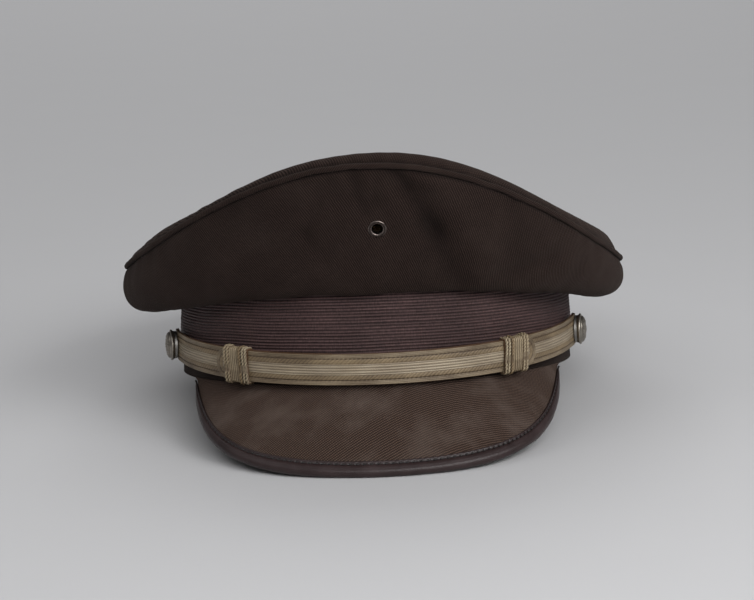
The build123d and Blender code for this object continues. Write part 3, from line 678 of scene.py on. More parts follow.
# Folds in the front panel, as points across and up it, then half width and depth, in mm.
FRONT_FOLDS = [
    (((11, 95), (15, 86), (22, 76), (27, 66)), 5.4, -1.9),
    (((10.5, 96), (13, 91), (17, 86)), 2.0, -0.9),
    (((27, 70), (29, 65)), 3.0, -0.6),
    (((28, 66), (33, 54), (37, 44)), 5.0, -1.3),
    (((24, 93), (35, 80), (43, 62), (47, 50)), 8.5, 1.9),
    (((5, 88), (14, 76), (20, 62)), 6.0, 0.8),
    (((3, 90), (2.5, 80)), 2.2, -0.7),
    (((-7, 93), (-5, 84), (-3, 76)), 2.6, -0.8),
    (((-16, 92), (-15, 84)), 3.0, -0.5),
    (((-22, 86), (-24, 78), (-28, 66)), 3.5, -0.8),
    (((-29, 68), (-25, 60)), 2.6, -0.6),
    (((58, 88), (63, 70), (64, 55)), 7.0, -0.6),
    (((-60, 84), (-66, 66)), 8.0, -0.5),
    (((52, 46), (66, 48), (84, 52)), 4.0, -0.7),
]
SEAM_SINK, EDGE_SINK, PUCKER = 0.55, 0.5, 0.22


def drape(grid):
    """How far the crown's cloth stands out of its plain shape, in mm."""
    x, y, z = np.moveaxis(grid, -1, 0)
    angle = np.arctan2(x, -y)
    arc = angle * CROWN_X
    front = np.clip(-y / 40, 0, 1)
    out = 0.3 * smooth_random(arc, z, 3, 46) + 0.13 * smooth_random(arc, z, 5, 17)
    for route, width, depth in FRONT_FOLDS:
        out = out + front * depth * bell(distance_to(x, z, route), width)
    below = edge_height(angle) - z
    pucker = smooth_random(arc, 0, 8, 9, 5) * np.exp(-np.abs(below - 4) / 4)
    return out + PUCKER * pucker - EDGE_SINK * bell(below - PIPING_RADIUS - 0.3, 0.9)


def crown_panel(start, end, columns, rows=60):
    """One panel of the crown's wall, turned in at its seams."""
    angles = np.linspace(start, end, columns)
    shares = np.linspace(0, 1, rows) ** 0.9
    plain = wall_grid(angles, shares)
    facing = outward_normals(plain)
    inset = np.minimum(angles - start, end - angles)[:, None] / 180 * np.pi * CROWN_X
    relief = drape(plain) - SEAM_SINK * bell(inset, 1.1)
    fade = np.clip(shares / 0.05, 0, 1)[None, :] * np.clip((1 - shares) / 0.02, 0.3, 1)[None, :]
    outer = plain + facing * (relief * fade)[..., None]
    below = edge_height(np.radians(angles))[:, None] - plain[..., 2]
    # Painted shade: darker just under the piping, along the seams, at the foot of the wall by the band, and
    # in the folds.
    tone = 1 - 0.75 * bell(below - PIPING_RADIUS, 0.8) - 0.5 * bell(inset, 0.5)
    tone = tone * np.clip(0.35 + shares / 0.03, 0, 1)[None, :] * np.clip(1 + 0.22 * relief, 0.4, 1)
    weave = cloth_coordinates(plain)
    return sheet(Shape(), outer, outer - facing * CROWN_CLOTH, weave, np.clip(tone, 0, 1))


def eyelet_cut(piece, radius):
    """Cuts the badge eyelet's hole through a piece, with a round cutter that is then removed."""
    behind, ahead = -12, 8
    shape = lathe(Shape(), [(ON_AXIS, behind), (radius, behind), (radius, ahead), (ON_AXIS, ahead)], 48)
    cutter = bpy.data.meshes.new("eyelet_cutter")
    cutter.from_pydata(placed(np.concatenate(shape.points), EYELET_FRAME).tolist(), [], shape.faces)
    close_up(cutter, 0.01)
    tool = bpy.data.objects.new("eyelet_cutter", cutter)
    bpy.context.scene.collection.objects.link(tool)
    modifier = piece.modifiers.new("eyelet", "BOOLEAN")
    modifier.operation = "DIFFERENCE"
    modifier.solver = "EXACT"
    modifier.object = tool
    depsgraph = bpy.context.evaluated_depsgraph_get()
    cut = bpy.data.meshes.new_from_object(piece.evaluated_get(depsgraph), depsgraph=depsgraph)
    piece.modifiers.clear()
    piece.data = cut
    bpy.data.objects.remove(tool)
    cut.shade_smooth()


SEAM_GAP = 0.03  # from each panel's end to the seam, in degrees


def make_crown_panels():
    """The front panel, with the badge eyelet's hole in it, and the two rear panels."""
    spans = {
        "crown_front_panel": (-SIDE_SEAM, SIDE_SEAM, 300),
        "crown_rear_panel_left": (SIDE_SEAM, 180, 110),
        "crown_rear_panel_right": (-180, -SIDE_SEAM, 110),
    }
    for node, (start, end, columns) in spans.items():
        shape = crown_panel(start + SEAM_GAP, end - SEAM_GAP, columns)
        piece = make_object(f"{node}_cloth", shape, "crown", [node])
        if node == "crown_front_panel":
            eyelet_cut(piece, PANEL_HOLE)


def make_front_stiffening():
    """The canvas behind the front panel and its two springs, which follow the panel's folds."""
    canvas_angles = (-CANVAS_HALF_ANGLE, CANVAS_HALF_ANGLE)
    right_angles = (-STAY_ANGLES[1], -STAY_ANGLES[0])
    pieces = {
        "front_canvas": (canvas_angles, CANVAS_SHARES, CANVAS_IN, CANVAS, "canvas", "canvas"),
        "front_stay_left": (STAY_ANGLES, STAY_SHARES, STAY_IN, STAY, "steel", "stay_steel"),
        "front_stay_right": (right_angles, STAY_SHARES, STAY_IN, STAY, "steel", "stay_steel"),
    }
    for node, ((start, end), (low, high), inner, thickness, material, slot) in pieces.items():
        angles = np.linspace(start, end, max(int((end - start) * 1.6), 7))
        plain = wall_grid(angles, np.linspace(low, high, 60))
        facing = outward_normals(plain)
        outer = plain + facing * (drape(plain) - 0.05 + inner + thickness)[..., None]
        shape = sheet(Shape(), outer, outer - facing * thickness, cloth_coordinates(plain))
        piece = make_object(f"{node}_draped", shape, material, [node])
        if node == "front_canvas":
            eyelet_cut(piece, PANEL_HOLE)


def top_grid(count, reach, lift, puff=0.0):
    """A sheet that fills the crown's edge: a square laid onto the oval, and each point's share of
    the way out to the edge."""
    line = np.sin(np.linspace(-np.pi / 2, np.pi / 2, count))
    a, b = np.meshgrid(line, line, indexing="ij")
    x = a * np.sqrt(1 - b * b / 2) * reach
    y = b * np.sqrt(1 - a * a / 2) * reach
    rho = np.hypot(x, y)
    height = edge_height(np.arctan2(x, -y), rho) + lift + puff * (1 - (rho / reach) ** TOP_PUFF_POWER)
    return leaned(np.stack([x * CROWN_X, y * CROWN_Y, height], -1)), rho / reach


# Swells and hollows just inside the crown's edge: angle from the front, half width, rise in mm.
TOP_SHOULDERS = [(-38, 17, -2.3), (12, 14, 1.0), (43, 13, -1.0), (74, 14, 1.2), (-74, 12, -2.0)]


def make_crown_top():
    """The stretched top, with a shallow groove and puckers near its edge."""
    under, rho = top_grid(141, TOP_REACH, TOP_LIFT, TOP_PUFF)
    x, y = under[..., 0], under[..., 1]
    angle = np.arctan2(x, -y)
    relief = 0.3 * smooth_random(x, y, 11, 80) * (1 - rho**8) - 0.35 * bell(rho - 0.925, 0.02)
    near_edge = np.clip((rho - 0.55) / 0.3, 0, 1) * np.clip((0.995 - rho) / 0.03, 0, 1)
    for middle, width, rise in TOP_SHOULDERS:
        relief = relief + near_edge * rise * bell(np.degrees(angle) - middle, width)
    relief = relief + 0.25 * smooth_random(angle * CROWN_X, 0, 13, 8, 5) * bell(rho - 0.985, 0.02)
    thickness = np.array([0, 0, CROWN_CLOTH])
    top = under + thickness + relief[..., None] * np.array([0, 0, 1])
    # Painted shade: darker at the very edge, in the crevice against the piping.
    tone = np.clip((1 - rho) / 0.012, 0.05, 1)
    shape = sheet(Shape(), top, top - thickness, flat(x, y), tone)
    make_object("crown_top_cloth", shape, "crown", ["crown_top"])


def edge_path(angles, reach=1.0, lift=0.0):
    """Points of the crown's edge at angles from the front in degrees, or of an oval inside it."""
    t = np.radians(angles)
    return leaned(on_oval((reach * CROWN_X, reach * CROWN_Y), t, edge_height(t, reach) + lift))


def make_piping():
    """The cloth-covered cord round the crown's edge, darker on its inner side where it is sewn in:
    painted shade in the crevices against the top and the wall.
    """
    angles = np.linspace(-180, 180, 520, endpoint=False)
    path = edge_path(angles)
    arc = np.radians(angles) * CROWN_X
    path[:, 2] += 0.12 * smooth_random(arc, 0, 21, 14, 5) * np.clip((180 - np.abs(angles)) / 5, 0, 1)
    radius = PIPING_RADIUS * (1 + 0.035 * smooth_random(arc, 0, 22, 6, 6))
    outwards = level(path)[:, None]

    # Painted shade: darker on the side that faces in, towards the top and the wall.
    def painted_crevice_shade(offsets):
        return np.clip((np.sum(offsets * outwards, -1) / PIPING_RADIUS - 0.2) / 0.35, 0.1, 1)

    shape = tube(Shape(), path, radius, UPWARDS, sides=24, closed=True, tone_at=painted_crevice_shade)
    nodes = ["crown_piping_cover", "crown_piping_cord"]
    make_object("crown_piping_roll", shape, "piping", nodes)


def make_eyelet():
    """The eyelet's rolled flange, its barrel, and the flattened end behind the washer."""
    barrel_in, barrel_out, flange = 2.4, 2.85, 4.0
    back, lift, roll_height = -1.65, 0.95, 0.42
    middle, half = (barrel_in + flange) / 2, (flange - barrel_in) / 2
    roll = np.linspace(np.pi, 0, 9)
    profile = [(barrel_in, back), (barrel_in, lift - 0.1)]
    profile += [(middle + half * np.cos(a), lift + roll_height * np.sin(a)) for a in roll]
    profile += [(flange - 0.05, lift - 0.25), ((barrel_out + flange) / 2, lift - 0.28)]
    profile += [(barrel_out, lift - 0.35), (barrel_out, back), (barrel_in, back)]

    # Darker on the roll's crest, lighter towards its inner and outer edges.
    def colour_marks(angle, radius, height):
        return 0.0, np.clip(np.abs(radius - 3.25) / 0.75, 0.25, 1) ** 2

    shape = lathe(Shape(), profile, 64, colour_marks)
    nodes, merge = ["badge_eyelet"], 0.001
    make_object("badge_eyelet_ring", shape, "eyelet", nodes, "cap", EYELET_FRAME, merge)


# ---- Band ------------------------------------------------------------------------------------

BRAID_ARC, LEATHER_ARC = 98, 90  # mean radii, which turn angles into lengths along the band
RIB_ROWS, RIB_DEPTH = 8, 0.75


def band_grid(offset, heights, columns, start=0.05):
    """Points of one face of the band, from the middle of the back round to it again, and their
    angles from the front."""
    angles = np.radians(np.linspace(180 + start, 540 - start, columns))
    t, z = np.meshgrid(angles, heights, indexing="ij")
    return on_oval(oval(offset, z), t, z), t


def make_braid():
    """The ribbed mohair braid: rounded ribs in pairs, with deep grooves between them."""
    heights = np.linspace(CLOTH_STRIP, BAND_HEIGHT, RIBS * RIB_ROWS + 1)
    plain, t = band_grid(BAND_OUT, heights, 420)
    inner, _ = band_grid(BRAID_IN, heights, 420)
    z = plain[..., 2]
    arc = t * BRAID_ARC
    pitch = (BAND_HEIGHT - CLOTH_STRIP) / RIBS
    phase = (z - CLOTH_STRIP + 0.16 * smooth_random(arc, z, 31, 60)) / pitch
    valley = np.cos(np.pi * phase)
    rib = np.abs(np.sin(np.pi * phase)) ** 0.6
    rib = rib * (1 - 0.22 * (0.5 + 0.5 * valley) * np.abs(valley))
    swell = 0.12 * smooth_random(arc, np.floor(phase) * 37.0, 33, 40)
    swell = swell + 0.35 * smooth_random(arc, z, 35, 70)
    outer = plain + level(plain) * (RIB_DEPTH * (rib - 1) + swell * 0.6)[..., None]
    # Painted shade: the tone falls in the grooves between ribs.
    shape = sheet(Shape(), outer, inner, flat(arc, z), np.clip(rib, 0, 1))
    make_object("band_braid_ribbed", shape, "braid", ["band_braid"])


def make_band_cloth():
    """The cloth round the band, which shows under the braid and folds under the bottom edge."""
    heights = np.concatenate([np.linspace(0.1, CLOTH_STRIP, 12), [20.0, BAND_HEIGHT - 0.2]])
    outer, t = band_grid(CLOTH_OUT, heights, 300)
    inner, _ = band_grid(CLOTH_IN, heights, 300)
    roll = np.clip(1 - heights / 0.8, 0, 1) ** 2
    outer = outer - level(outer) * (0.35 * roll)[None, :, None]
    shape = sheet(Shape(), outer, inner, flat(t * BRAID_ARC, outer[..., 2]))

    offsets = np.linspace(STIFFENER_IN + 0.1, CLOTH_OUT, 7)
    turn = t[:, : len(offsets)]
    drop = -0.45 * np.clip(np.cos(turn) + 0.4, 0, 1)
    under, over = (on_oval(oval(offsets, 0), turn, height) for height in (drop + 0.01, 0.12))
    sheet(shape, under, over, flat(turn * BRAID_ARC, offsets))
    make_object("band_cloth_wrap", shape, "band_cloth", ["band_cloth"])


def make_sweatband():
    """The leather sweatband, a little wavy at its free edge, with the stitches that hold it."""
    heights = np.linspace(0.3, SWEATBAND_HEIGHT, 24)
    plain, t = band_grid(SWEATBAND, heights, 300, 0.2)
    inner, _ = band_grid(0.1, heights, 300, 0.2)
    arc = t * LEATHER_ARC
    free = (heights / SWEATBAND_HEIGHT)[None, :] ** 2
    wave = level(plain) * (free * (0.35 * smooth_random(arc, 0, 41, 60) + 0.2))[..., None]
    shape = sheet(Shape(), plain + wave, inner + wave, flat(arc, plain[..., 2]))
    make_object("sweatband_skin", shape, "sweatband", ["sweatband"])

    stitches = Shape()
    spacing, length, height = 3.4, 2.5, 2.6
    half = length / 2 / LEATHER_ARC
    for turn in np.linspace(0, 2 * np.pi, int(2 * np.pi * LEATHER_ARC / spacing), endpoint=False):
        start, end = on_oval(oval(-0.02, height), np.array([turn - half, turn + half]), height)
        stitch(stitches, start, end, 0.22, (-np.sin(turn), np.cos(turn), 0), 0.15)
    make_object("sweatband_stitches", stitches, "tan_thread")


def make_sweatband_tape():
    """The leather strip over the sweatband's joint, with a row of stitches down each side."""
    low, high, half = 3.0, 31.0, 5.0
    heights = np.linspace(low, high, 30)
    t, z = np.meshgrid(np.linspace(-half, half, 15) / HEAD_Y, heights, indexing="ij")
    bulge = 0.35 * (1 - (t * HEAD_Y / half) ** 4) * (1 - (2 * (z - low) / (high - low) - 1) ** 8)
    inner, outer = (on_oval(oval(offset, z), np.pi - t, z) for offset in (-0.2 - bulge, -0.05))
    shape = sheet(Shape(), outer, inner, flat(t * HEAD_Y, z))
    make_object("sweatband_tape", shape, "sweatband", ["sweatband_back_tape"])

    stitches = Shape()
    row, first, spacing, length = 3.9, 1.5, 2.9, 2.1
    for x in (-row, row):
        for k in range(9):
            start = low + first + spacing * k
            ends = []
            for height in (start, start + length):
                across, along = oval(-0.5, height)
                ends.append((x, along * np.sqrt(1 - (x / across) ** 2), height))
            stitch(stitches, *ends, 0.2, (0, -1, 0), 0.12)
    make_object("sweatband_tape_stitches", stitches, "tan_thread")


def make_reed():
    """The reed in its oilcloth roll along the sweatband's bottom edge."""
    angles = np.radians(np.linspace(180.5, 539.5, 320))
    gap, height, radius = 1.5, 1.35, 1.3
    path = on_oval(oval(SWEATBAND + gap, height), angles, height)
    girth = radius + 0.05 * smooth_random(angles * LEATHER_ARC, 0, 51, 5)
    shape = tube(Shape(), path, girth, UPWARDS, sides=16)
    make_object("sweatband_reed_roll", shape, "reed", ["sweatband_reed"])


# ---- Lining ----------------------------------------------------------------------------------

# Each reach is a share of the crown's, each lift is from the crown's edge, in mm.
TOP_LINING_REACH, TOP_LINING_LIFT = 0.94, -1.5
SHIELD_REACH, SHIELD_LIFT, SHIELD_THICKNESS = 0.42, -2.75, 0.4
SHIELD_SEAM, SHIELD_STITCH_LIFT = 0.93, -3.6


def make_side_lining():
    """The side lining, gathered in small pleats."""
    angles = np.linspace(-179.8, 179.8, 420)
    plain = wall_grid(angles, np.linspace(0.04, 0.94, 44))
    pleat_pitch = 13
    facing = outward_normals(plain)
    arc = np.radians(angles)[:, None] * CROWN_X
    pleat = 0.28 * np.sin(2 * np.pi * arc / pleat_pitch + 1.2 * smooth_random(arc, 0, 61, 90))
    relief = pleat - 0.25 + np.minimum(drape(plain), 0)
    outer = plain + facing * (LINING_IN + LINING + relief)[..., None]
    shape = sheet(Shape(), outer, outer - facing * LINING, cloth_coordinates(plain))
    piece = make_object("crown_side_lining_cloth", shape, "lining", ["crown_side_lining"])
    eyelet_cut(piece, LINING_HOLE)


def hung_sheet(top, relief, thickness):
    """A sheet that hangs under the crown's top, with a relief of its own."""
    top = top + relief[..., None] * np.array([0, 0, 1])
    return sheet(Shape(), top, top - np.array([0, 0, thickness]), flat(top[..., 0], top[..., 1]))


def make_top_lining():
    """The lining under the crown's top."""
    top, rho = top_grid(81, TOP_LINING_REACH, TOP_LINING_LIFT)
    relief = 0.35 * smooth_random(top[..., 0], top[..., 1], 63, 50) * (1 - rho**6) - 0.35
    shape = hung_sheet(top, relief, LINING)
    make_object("crown_top_lining_cloth", shape, "lining", ["crown_top_lining"])


def make_sweat_shield():
    """The round shield under the top lining, with the stitches that hold it."""
    shield, rho = top_grid(41, SHIELD_REACH, SHIELD_LIFT)
    relief = -0.25 * smooth_random(shield[..., 0], shield[..., 1], 65, 40) * (1 - rho**4)
    shape = hung_sheet(shield, relief - 0.2 * bell(rho - SHIELD_SEAM, 0.03), SHIELD_THICKNESS)
    make_object("sweat_shield_sheet", shape, "shield", ["sweat_shield"])

    stitches = Shape()
    count, length = 104, 0.04
    for turn in np.linspace(0, 2 * np.pi, count, endpoint=False):
        angles = np.degrees([turn, turn + length])
        ends = edge_path(angles, SHIELD_REACH * SHIELD_SEAM, SHIELD_STITCH_LIFT)
        stitch(stitches, *ends, 0.2, (0, 0, -1), 0.1)
    make_object("sweat_shield_stitches", stitches, "tan_thread")


# ---- Visor -----------------------------------------------------------------------------------

BINDING_SEAM = 2.7  # the stitch line's distance from the visor's edge
BINDING_INNER = VISOR_THICKNESS / 2 + BINDING_PLAY
VISOR_EDGE_LENGTH = 290.0
STITCH_SPACING = 3.1


def visor_lines(u):
    """The visor's root and edge points, for u from 0 at the wearer's left to 1."""
    share = VISOR_SPAN * (1 - 2 * np.asarray(u))
    root, edge = np.radians(VISOR_END * share), np.radians(90 * share)
    roots = on_oval(oval(CLOTH_OUT, 0), root, -VISOR_DROP_AT_BAND)
    sideways = (np.sin(edge) + VISOR_SQUARENESS * np.sin(3 * edge)) / (1 - VISOR_SQUARENESS)
    ahead = (np.cos(edge) - VISOR_SQUARENESS * np.cos(3 * edge)) / (1 - VISOR_SQUARENESS)
    y = -VISOR_ROOT_Y - VISOR_REACH * ahead
    return roots, np.stack([VISOR_HALF_WIDTH * sideways, y, -VISOR_DROP * ahead], -1)


def visor_depth(us):
    """The visor's depth in mm, from band to edge."""
    roots, edges = visor_lines(us)
    return np.linalg.norm(edges - roots, axis=1)


def visor_grid(us, vs):
    """Points of the visor's upper face, u along it and v from band to edge."""
    roots, edges = visor_lines(us)
    across = edges - roots
    flat = np.hypot(across[:, 0], across[:, 1])
    grid = roots[:, None] + across[:, None] * vs[None, :, None]
    grid[..., 2] += VISOR_BOW * 4 * (vs * (1 - vs))[None, :] * flat[:, None]
    return grid


def visor_axes(us, vs):
    """Unit vectors out of and up from the visor, at each point of a grid."""
    step = 1e-3
    along = unit(visor_grid(us + step, vs) - visor_grid(us - step, vs))
    outwards = visor_grid(us, vs + step) - visor_grid(us, vs - step)
    upwards = unit(np.cross(along, outwards))
    return np.cross(upwards, along), upwards


def make_visor_sheets():
    """The visor's twill cover, raised where it turns up against the band, and its underside."""
    us = np.linspace(0.0005, 0.9995, 220)
    vs = np.linspace(0, 1, 60)
    plain = visor_grid(us, vs)
    _, up = visor_axes(us, vs)
    x, y = plain[..., 0], plain[..., 1]
    relief = 0.16 * smooth_random(x, y, 71, 55) + 0.05 * smooth_random(x, y, 72, 14)
    depth = visor_depth(us)[:, None]
    relief = relief * np.clip((1 - vs) * depth / 5, 0, 1) - 0.1 + 0.55 * bell(vs * depth, 1.6)
    weave = flat(x, y * 1.35)
    top = plain + up * relief[..., None]
    shape = sheet(Shape(), top, top - up * (VISOR_COVER - 0.05), weave)
    make_object("visor_cover_cloth", shape, "visor", ["visor_cover"])

    high, low = VISOR_THICKNESS - VISOR_UNDERSIDE + 0.03, VISOR_THICKNESS - 0.03
    shape = sheet(Shape(), plain - up * high, plain - up * low, weave)
    make_object("visor_underside_skin", shape, "visor_lining", ["visor_underside"])


def binding_travel(us, shares):
    """For shares of the way round the binding's U: how far each point lies inland of the visor's
    edge, how far round the edge it has turned, and the visor's depth there."""
    depth = visor_depth(us)[:, None]
    lap = np.minimum(BINDING_LAP, 0.7 * depth)
    bend = np.pi * BINDING_INNER
    travel = shares[None, :] * (2 * lap + bend)
    turn = np.clip((travel - lap) / BINDING_INNER, 0, np.pi)
    inland = np.maximum(np.maximum(lap - travel, travel - lap - bend), 0)
    return inland, turn, depth


def binding_points(us, inland, turn, depth, height):
    """Points of the binding, a height over its inner face."""
    points = []
    for u, vs, angle, reach in zip(us, 1 - inland / depth, turn, BINDING_INNER + height):
        line = np.array([u])
        out, up = visor_axes(line, vs)
        middle = visor_grid(line, vs)[0] - up[0] * VISOR_THICKNESS / 2
        away = out[0] * np.sin(angle)[:, None] + up[0] * np.cos(angle)[:, None]
        points.append(middle + away * reach[:, None])
    return np.array(points)


def binding_relief(us, inland):
    """The strip's thickness over the visor, pressed in along its stitches and rounded at its edges,
    and its tone: painted shade in the stitch groove and along the strip's edges."""
    along = (us * VISOR_EDGE_LENGTH)[:, None]
    edge = np.clip((BINDING_LAP - inland) / 0.5, 0, 1)
    slant = along + 0.9 * (inland - BINDING_SEAM)
    pull = (0.5 + 0.5 * np.cos(2 * np.pi * slant / STITCH_SPACING)) ** 2
    groove = bell(inland - BINDING_SEAM, 0.55) * (0.3 + 0.45 * pull)
    swell = 0.2 * bell(inland - 0.8, 0.9) + 0.05 * np.sin(along / 7.1) + 0.04 * np.sin(along / 2.9)
    height = BINDING * (0.35 + 0.65 * np.sqrt(edge)) - groove + swell
    # Painted shade: darker in the stitch groove and along the strip's edges.
    return height, np.clip(1 - 1.25 * groove, 0.05, 1) * np.clip(0.1 + edge, 0, 1)


def make_binding():
    """The leather strip folded round the visor's edge, and its stitches on both faces."""
    us = np.linspace(0, 1, 1000)
    inland, turn, depth = binding_travel(us, np.linspace(0, 1, 71))
    height, tone = binding_relief(us, inland)
    outer = binding_points(us, inland, turn, depth, height)
    inner = binding_points(us, inland, turn, depth, 0.02 + 0 * height)
    shape = sheet(Shape(), outer, inner, cloth_coordinates(outer), tone)
    make_object("visor_binding_strip", shape, "binding", ["visor_binding"])

    stitches = Shape()
    count = int(VISOR_EDGE_LENGTH / STITCH_SPACING)
    gap = 0.14  # before and after each stitch, as a share of their spacing
    for k in range(4, count - 3):
        u_ends = np.array([(k + gap) / count, (k + 1 - gap) / count])
        spans = visor_depth(u_ends)
        if spans.min() < 1.6 * BINDING_SEAM:
            continue
        for side in (1, -1):
            ends = []
            for u, span in zip(u_ends, spans):
                line, vs = np.array([u]), np.array([1 - BINDING_SEAM / span])
                up = visor_axes(line, vs)[1][0, 0]
                middle = visor_grid(line, vs)[0, 0] - up * VISOR_THICKNESS / 2
                ends.append(middle + side * up * (BINDING_INNER + BINDING - 0.36))
            stitch(stitches, *ends, 0.26, side * up, 0.25)
    make_object("visor_binding_stitches", stitches, "thread")


# ---- Chinstrap -------------------------------------------------------------------------------

EDGE_BAND, BRAID_BAND = 2.1, 4.5  # how far in from the strap's outline each part of the lace reaches
CORD_PITCH = 1.22
LACE_LIFT = 0.45  # how far the lace stands off its leather under the buttons
LACE_STEP, LACE_COLUMNS = 0.33, 113
EDGE_PITCH, BRAID_PITCH, STRAND_PITCH, PRICK_PITCH = 0.7, 1.9, 1.1, 1.9


def strap_points(angle, radius, height):
    """Points in the strap's level frame at an angle from the front in degrees, +X side positive."""
    return on_oval((radius, radius), np.radians(angle), height)


def lace_relief(along, across, inset):
    """Height in mm of the woven lace, how far each point stands out of its hollows as a tone that paints
    shade into them, and its zone: 0 along the edges, 1 in the diagonal braids, 2 in the cords down the
    middle."""
    edge = 0.16 * np.abs(np.sin(np.pi * inset / EDGE_PITCH)) ** 0.6 + 0.02 * np.sin(2 * np.pi * along / 0.8)
    side = np.where(across >= 0, 1.0, -1.0)
    lean = (along + side * 1.1 * (inset - EDGE_BAND)) / BRAID_PITCH
    band = np.clip((inset - EDGE_BAND) / (BRAID_BAND - EDGE_BAND), 0, 1)
    dome = np.sqrt(np.clip(1 - (2 * band - 1) ** 2, 0, 1))
    braid = (0.08 + 0.24 * np.abs(np.sin(np.pi * lean)) ** 0.7) * dome
    twist = 0.9 + 0.1 * np.sin(2 * np.pi * (along / STRAND_PITCH + across * 0.8))
    cords = 0.34 * np.abs(np.cos(np.pi * across / CORD_PITCH)) ** 0.8 * twist
    zone = np.where(inset < EDGE_BAND, 0.0, np.where(inset < BRAID_BAND, 1.0, 2.0))
    relief = np.where(zone == 0, edge, np.where(zone == 1, braid, cords))
    seam = bell(inset - EDGE_BAND, 0.25)
    pricks = seam * (0.5 + 0.5 * np.cos(2 * np.pi * along / PRICK_PITCH)) ** 2
    relief = relief - 0.08 * seam - 0.30 * pricks
    # Painted shade: the tone is low in the lace's hollows.
    tone = np.clip((relief + 0.10) / np.where(zone == 1, 0.42, 0.34), 0, 1)
    return relief - 0.25 * np.clip(1 - inset / 0.3, 0, 1) ** 2, tone, zone


def lace_strip(start, end, round_start, round_end, radius, seed):
    """A length of lace along the strap's arc, between two angles, with either end round."""
    half = STRAP_WIDTH / 2 - 0.1
    mm_per_degree = np.pi / 180 * radius
    first, last = start * mm_per_degree, end * mm_per_degree
    low, high = first - (half if round_start else 0), last + (half if round_end else 0)
    along = np.linspace(low, high, int((high - low) / LACE_STEP))
    turn = np.linspace(0, np.pi / 2, 22)[1:]
    if round_start:
        along = np.concatenate([first - half * np.sin(turn[::-1]), along[along >= first]])
    if round_end:
        along = np.concatenate([along[along <= last], last + half * np.sin(turn)])
    beyond = np.maximum(np.maximum(first - along, along - last), 0)[:, None]
    reach = np.sqrt(np.maximum(half**2 - beyond**2, 0.02))
    across = np.linspace(-1, 1, LACE_COLUMNS)[None, :] * reach
    s = np.broadcast_to(along[:, None], across.shape)
    inset = half - np.hypot(beyond, across)
    relief, tone, zone = lace_relief(s, across, np.maximum(inset, 0))
    angles = s / mm_per_degree
    lift = LACE_LIFT * np.clip((np.abs(angles) - BUTTON_ANGLE + 8) / 6, 0, 1) ** 2
    rise = relief + 0.06 * smooth_random(s, across, seed, 25) + lift
    outer = strap_points(angles, radius + STRAP_LACE - 0.3 + rise, across)
    inner = strap_points(angles, radius, across)
    return sheet(Shape(), outer, inner, np.stack([s + seed * 100, across, zone], -1), tone)


def make_straps():
    """The lace of the front piece, round at both ends, and of the side pieces, round at the button."""
    side_in = STRAP_RADIUS + STRAP_LEATHER + STRAP_PLAY
    front_in = side_in + STRAP_LACE + 2 * STRAP_PLAY + STRAP_LEATHER + STRAP_PLAY
    laces = {
        "front": (-FRONT_STRAP_END, FRONT_STRAP_END, True, True, front_in, 81),
        "left": (STRAP_INNER_END, STRAP_END, False, True, side_in, 83),
        "right": (-STRAP_END, -STRAP_INNER_END, True, False, side_in, 81),
    }
    for part, strip in laces.items():
        node, shape = f"strap_{part}_lace", lace_strip(*strip)
        make_object(f"{node}_woven", shape, "lace", [node], "chinstrap", STRAP_FRAME)


# Cords of a slide: their place along the strap from its outboard end, radius, whether laid up
# from strands, and whether dark.
SLIDE_CORDS = [
    (-6.0, 0.95, True, False),
    (-4.3, 0.90, True, False),
    (-3.2, 0.50, False, False),
    (-2.1, 0.52, False, False),
    (-1.0, 0.52, False, False),
    (0.1, 0.52, False, False),
    (1.2, 0.50, False, False),
    (2.65, 0.95, True, True),
    (4.35, 0.80, True, False),
    (5.85, 0.75, True, False),
]
CORE_IN, CORE_OUT = STRAP_RADIUS - 0.7, STRAP_RADIUS + 2.95
LOOP_SQUARENESS = 0.32


def loop_path(offset, side, radius, count=110):
    """A rounded loop round both straps, at a distance along them from the slide's middle."""
    half_depth = (CORE_OUT - CORE_IN) / 2 + radius * 0.5
    middle = (CORE_OUT + CORE_IN) / 2 + radius * 0.35
    half_height = STRAP_WIDTH / 2 + 0.8 * radius
    turn = np.linspace(0, 2 * np.pi, count, endpoint=False)
    depth = np.sign(np.cos(turn)) * np.abs(np.cos(turn)) ** LOOP_SQUARENESS * half_depth
    height = np.sign(np.sin(turn)) * np.abs(np.sin(turn)) ** LOOP_SQUARENESS * half_height
    steps = np.hypot(np.gradient(depth), np.gradient(height))
    travel = np.concatenate([[0], np.cumsum(steps)])[:-1]
    even = np.linspace(0, travel[-1], count)
    depth, height = np.interp(even, travel, depth), np.interp(even, travel, height)
    angle = side * (SLIDE_ANGLE - offset / (np.pi / 180 * STRAP_RADIUS))
    return strap_points(angle + side * 0.25 * np.sin(height / 5), middle + depth, height)


def make_slides():
    """The two slides, each wound from metal cords round its leather core."""
    for name, side in SIDES.items():
        pale, dark = Shape(), Shape()
        t = np.radians(side * SLIDE_ANGLE)
        along = (np.cos(t), np.sin(t), 0)
        for offset, radius, laid, is_dark in SLIDE_CORDS:
            shape = dark if is_dark else pale
            path = loop_path(offset, side, radius)
            if laid:
                laid_loop(shape, path, radius, along, offset)
            else:
                tube(shape, path, radius, along, 8, True, offset, (path, radius))
        slide = f"slide_{name}"
        make_object(f"{slide}_cords", pale, "slide_pale", [f"{slide}_wrap"], slide, STRAP_FRAME)
        make_object(f"{slide}_dark_cord", dark, "slide_dark", (), slide, STRAP_FRAME)


# ---- Side buttons ----------------------------------------------------------------------------

BUTTON_BASE = BUTTON_STAND + BUTTON_BACK + 0.05
RIM_BEAD = 0.62
BUTTON_RING, BUTTON_BOSS = 4.3, 1.7  # radii of the motif's ring and boss


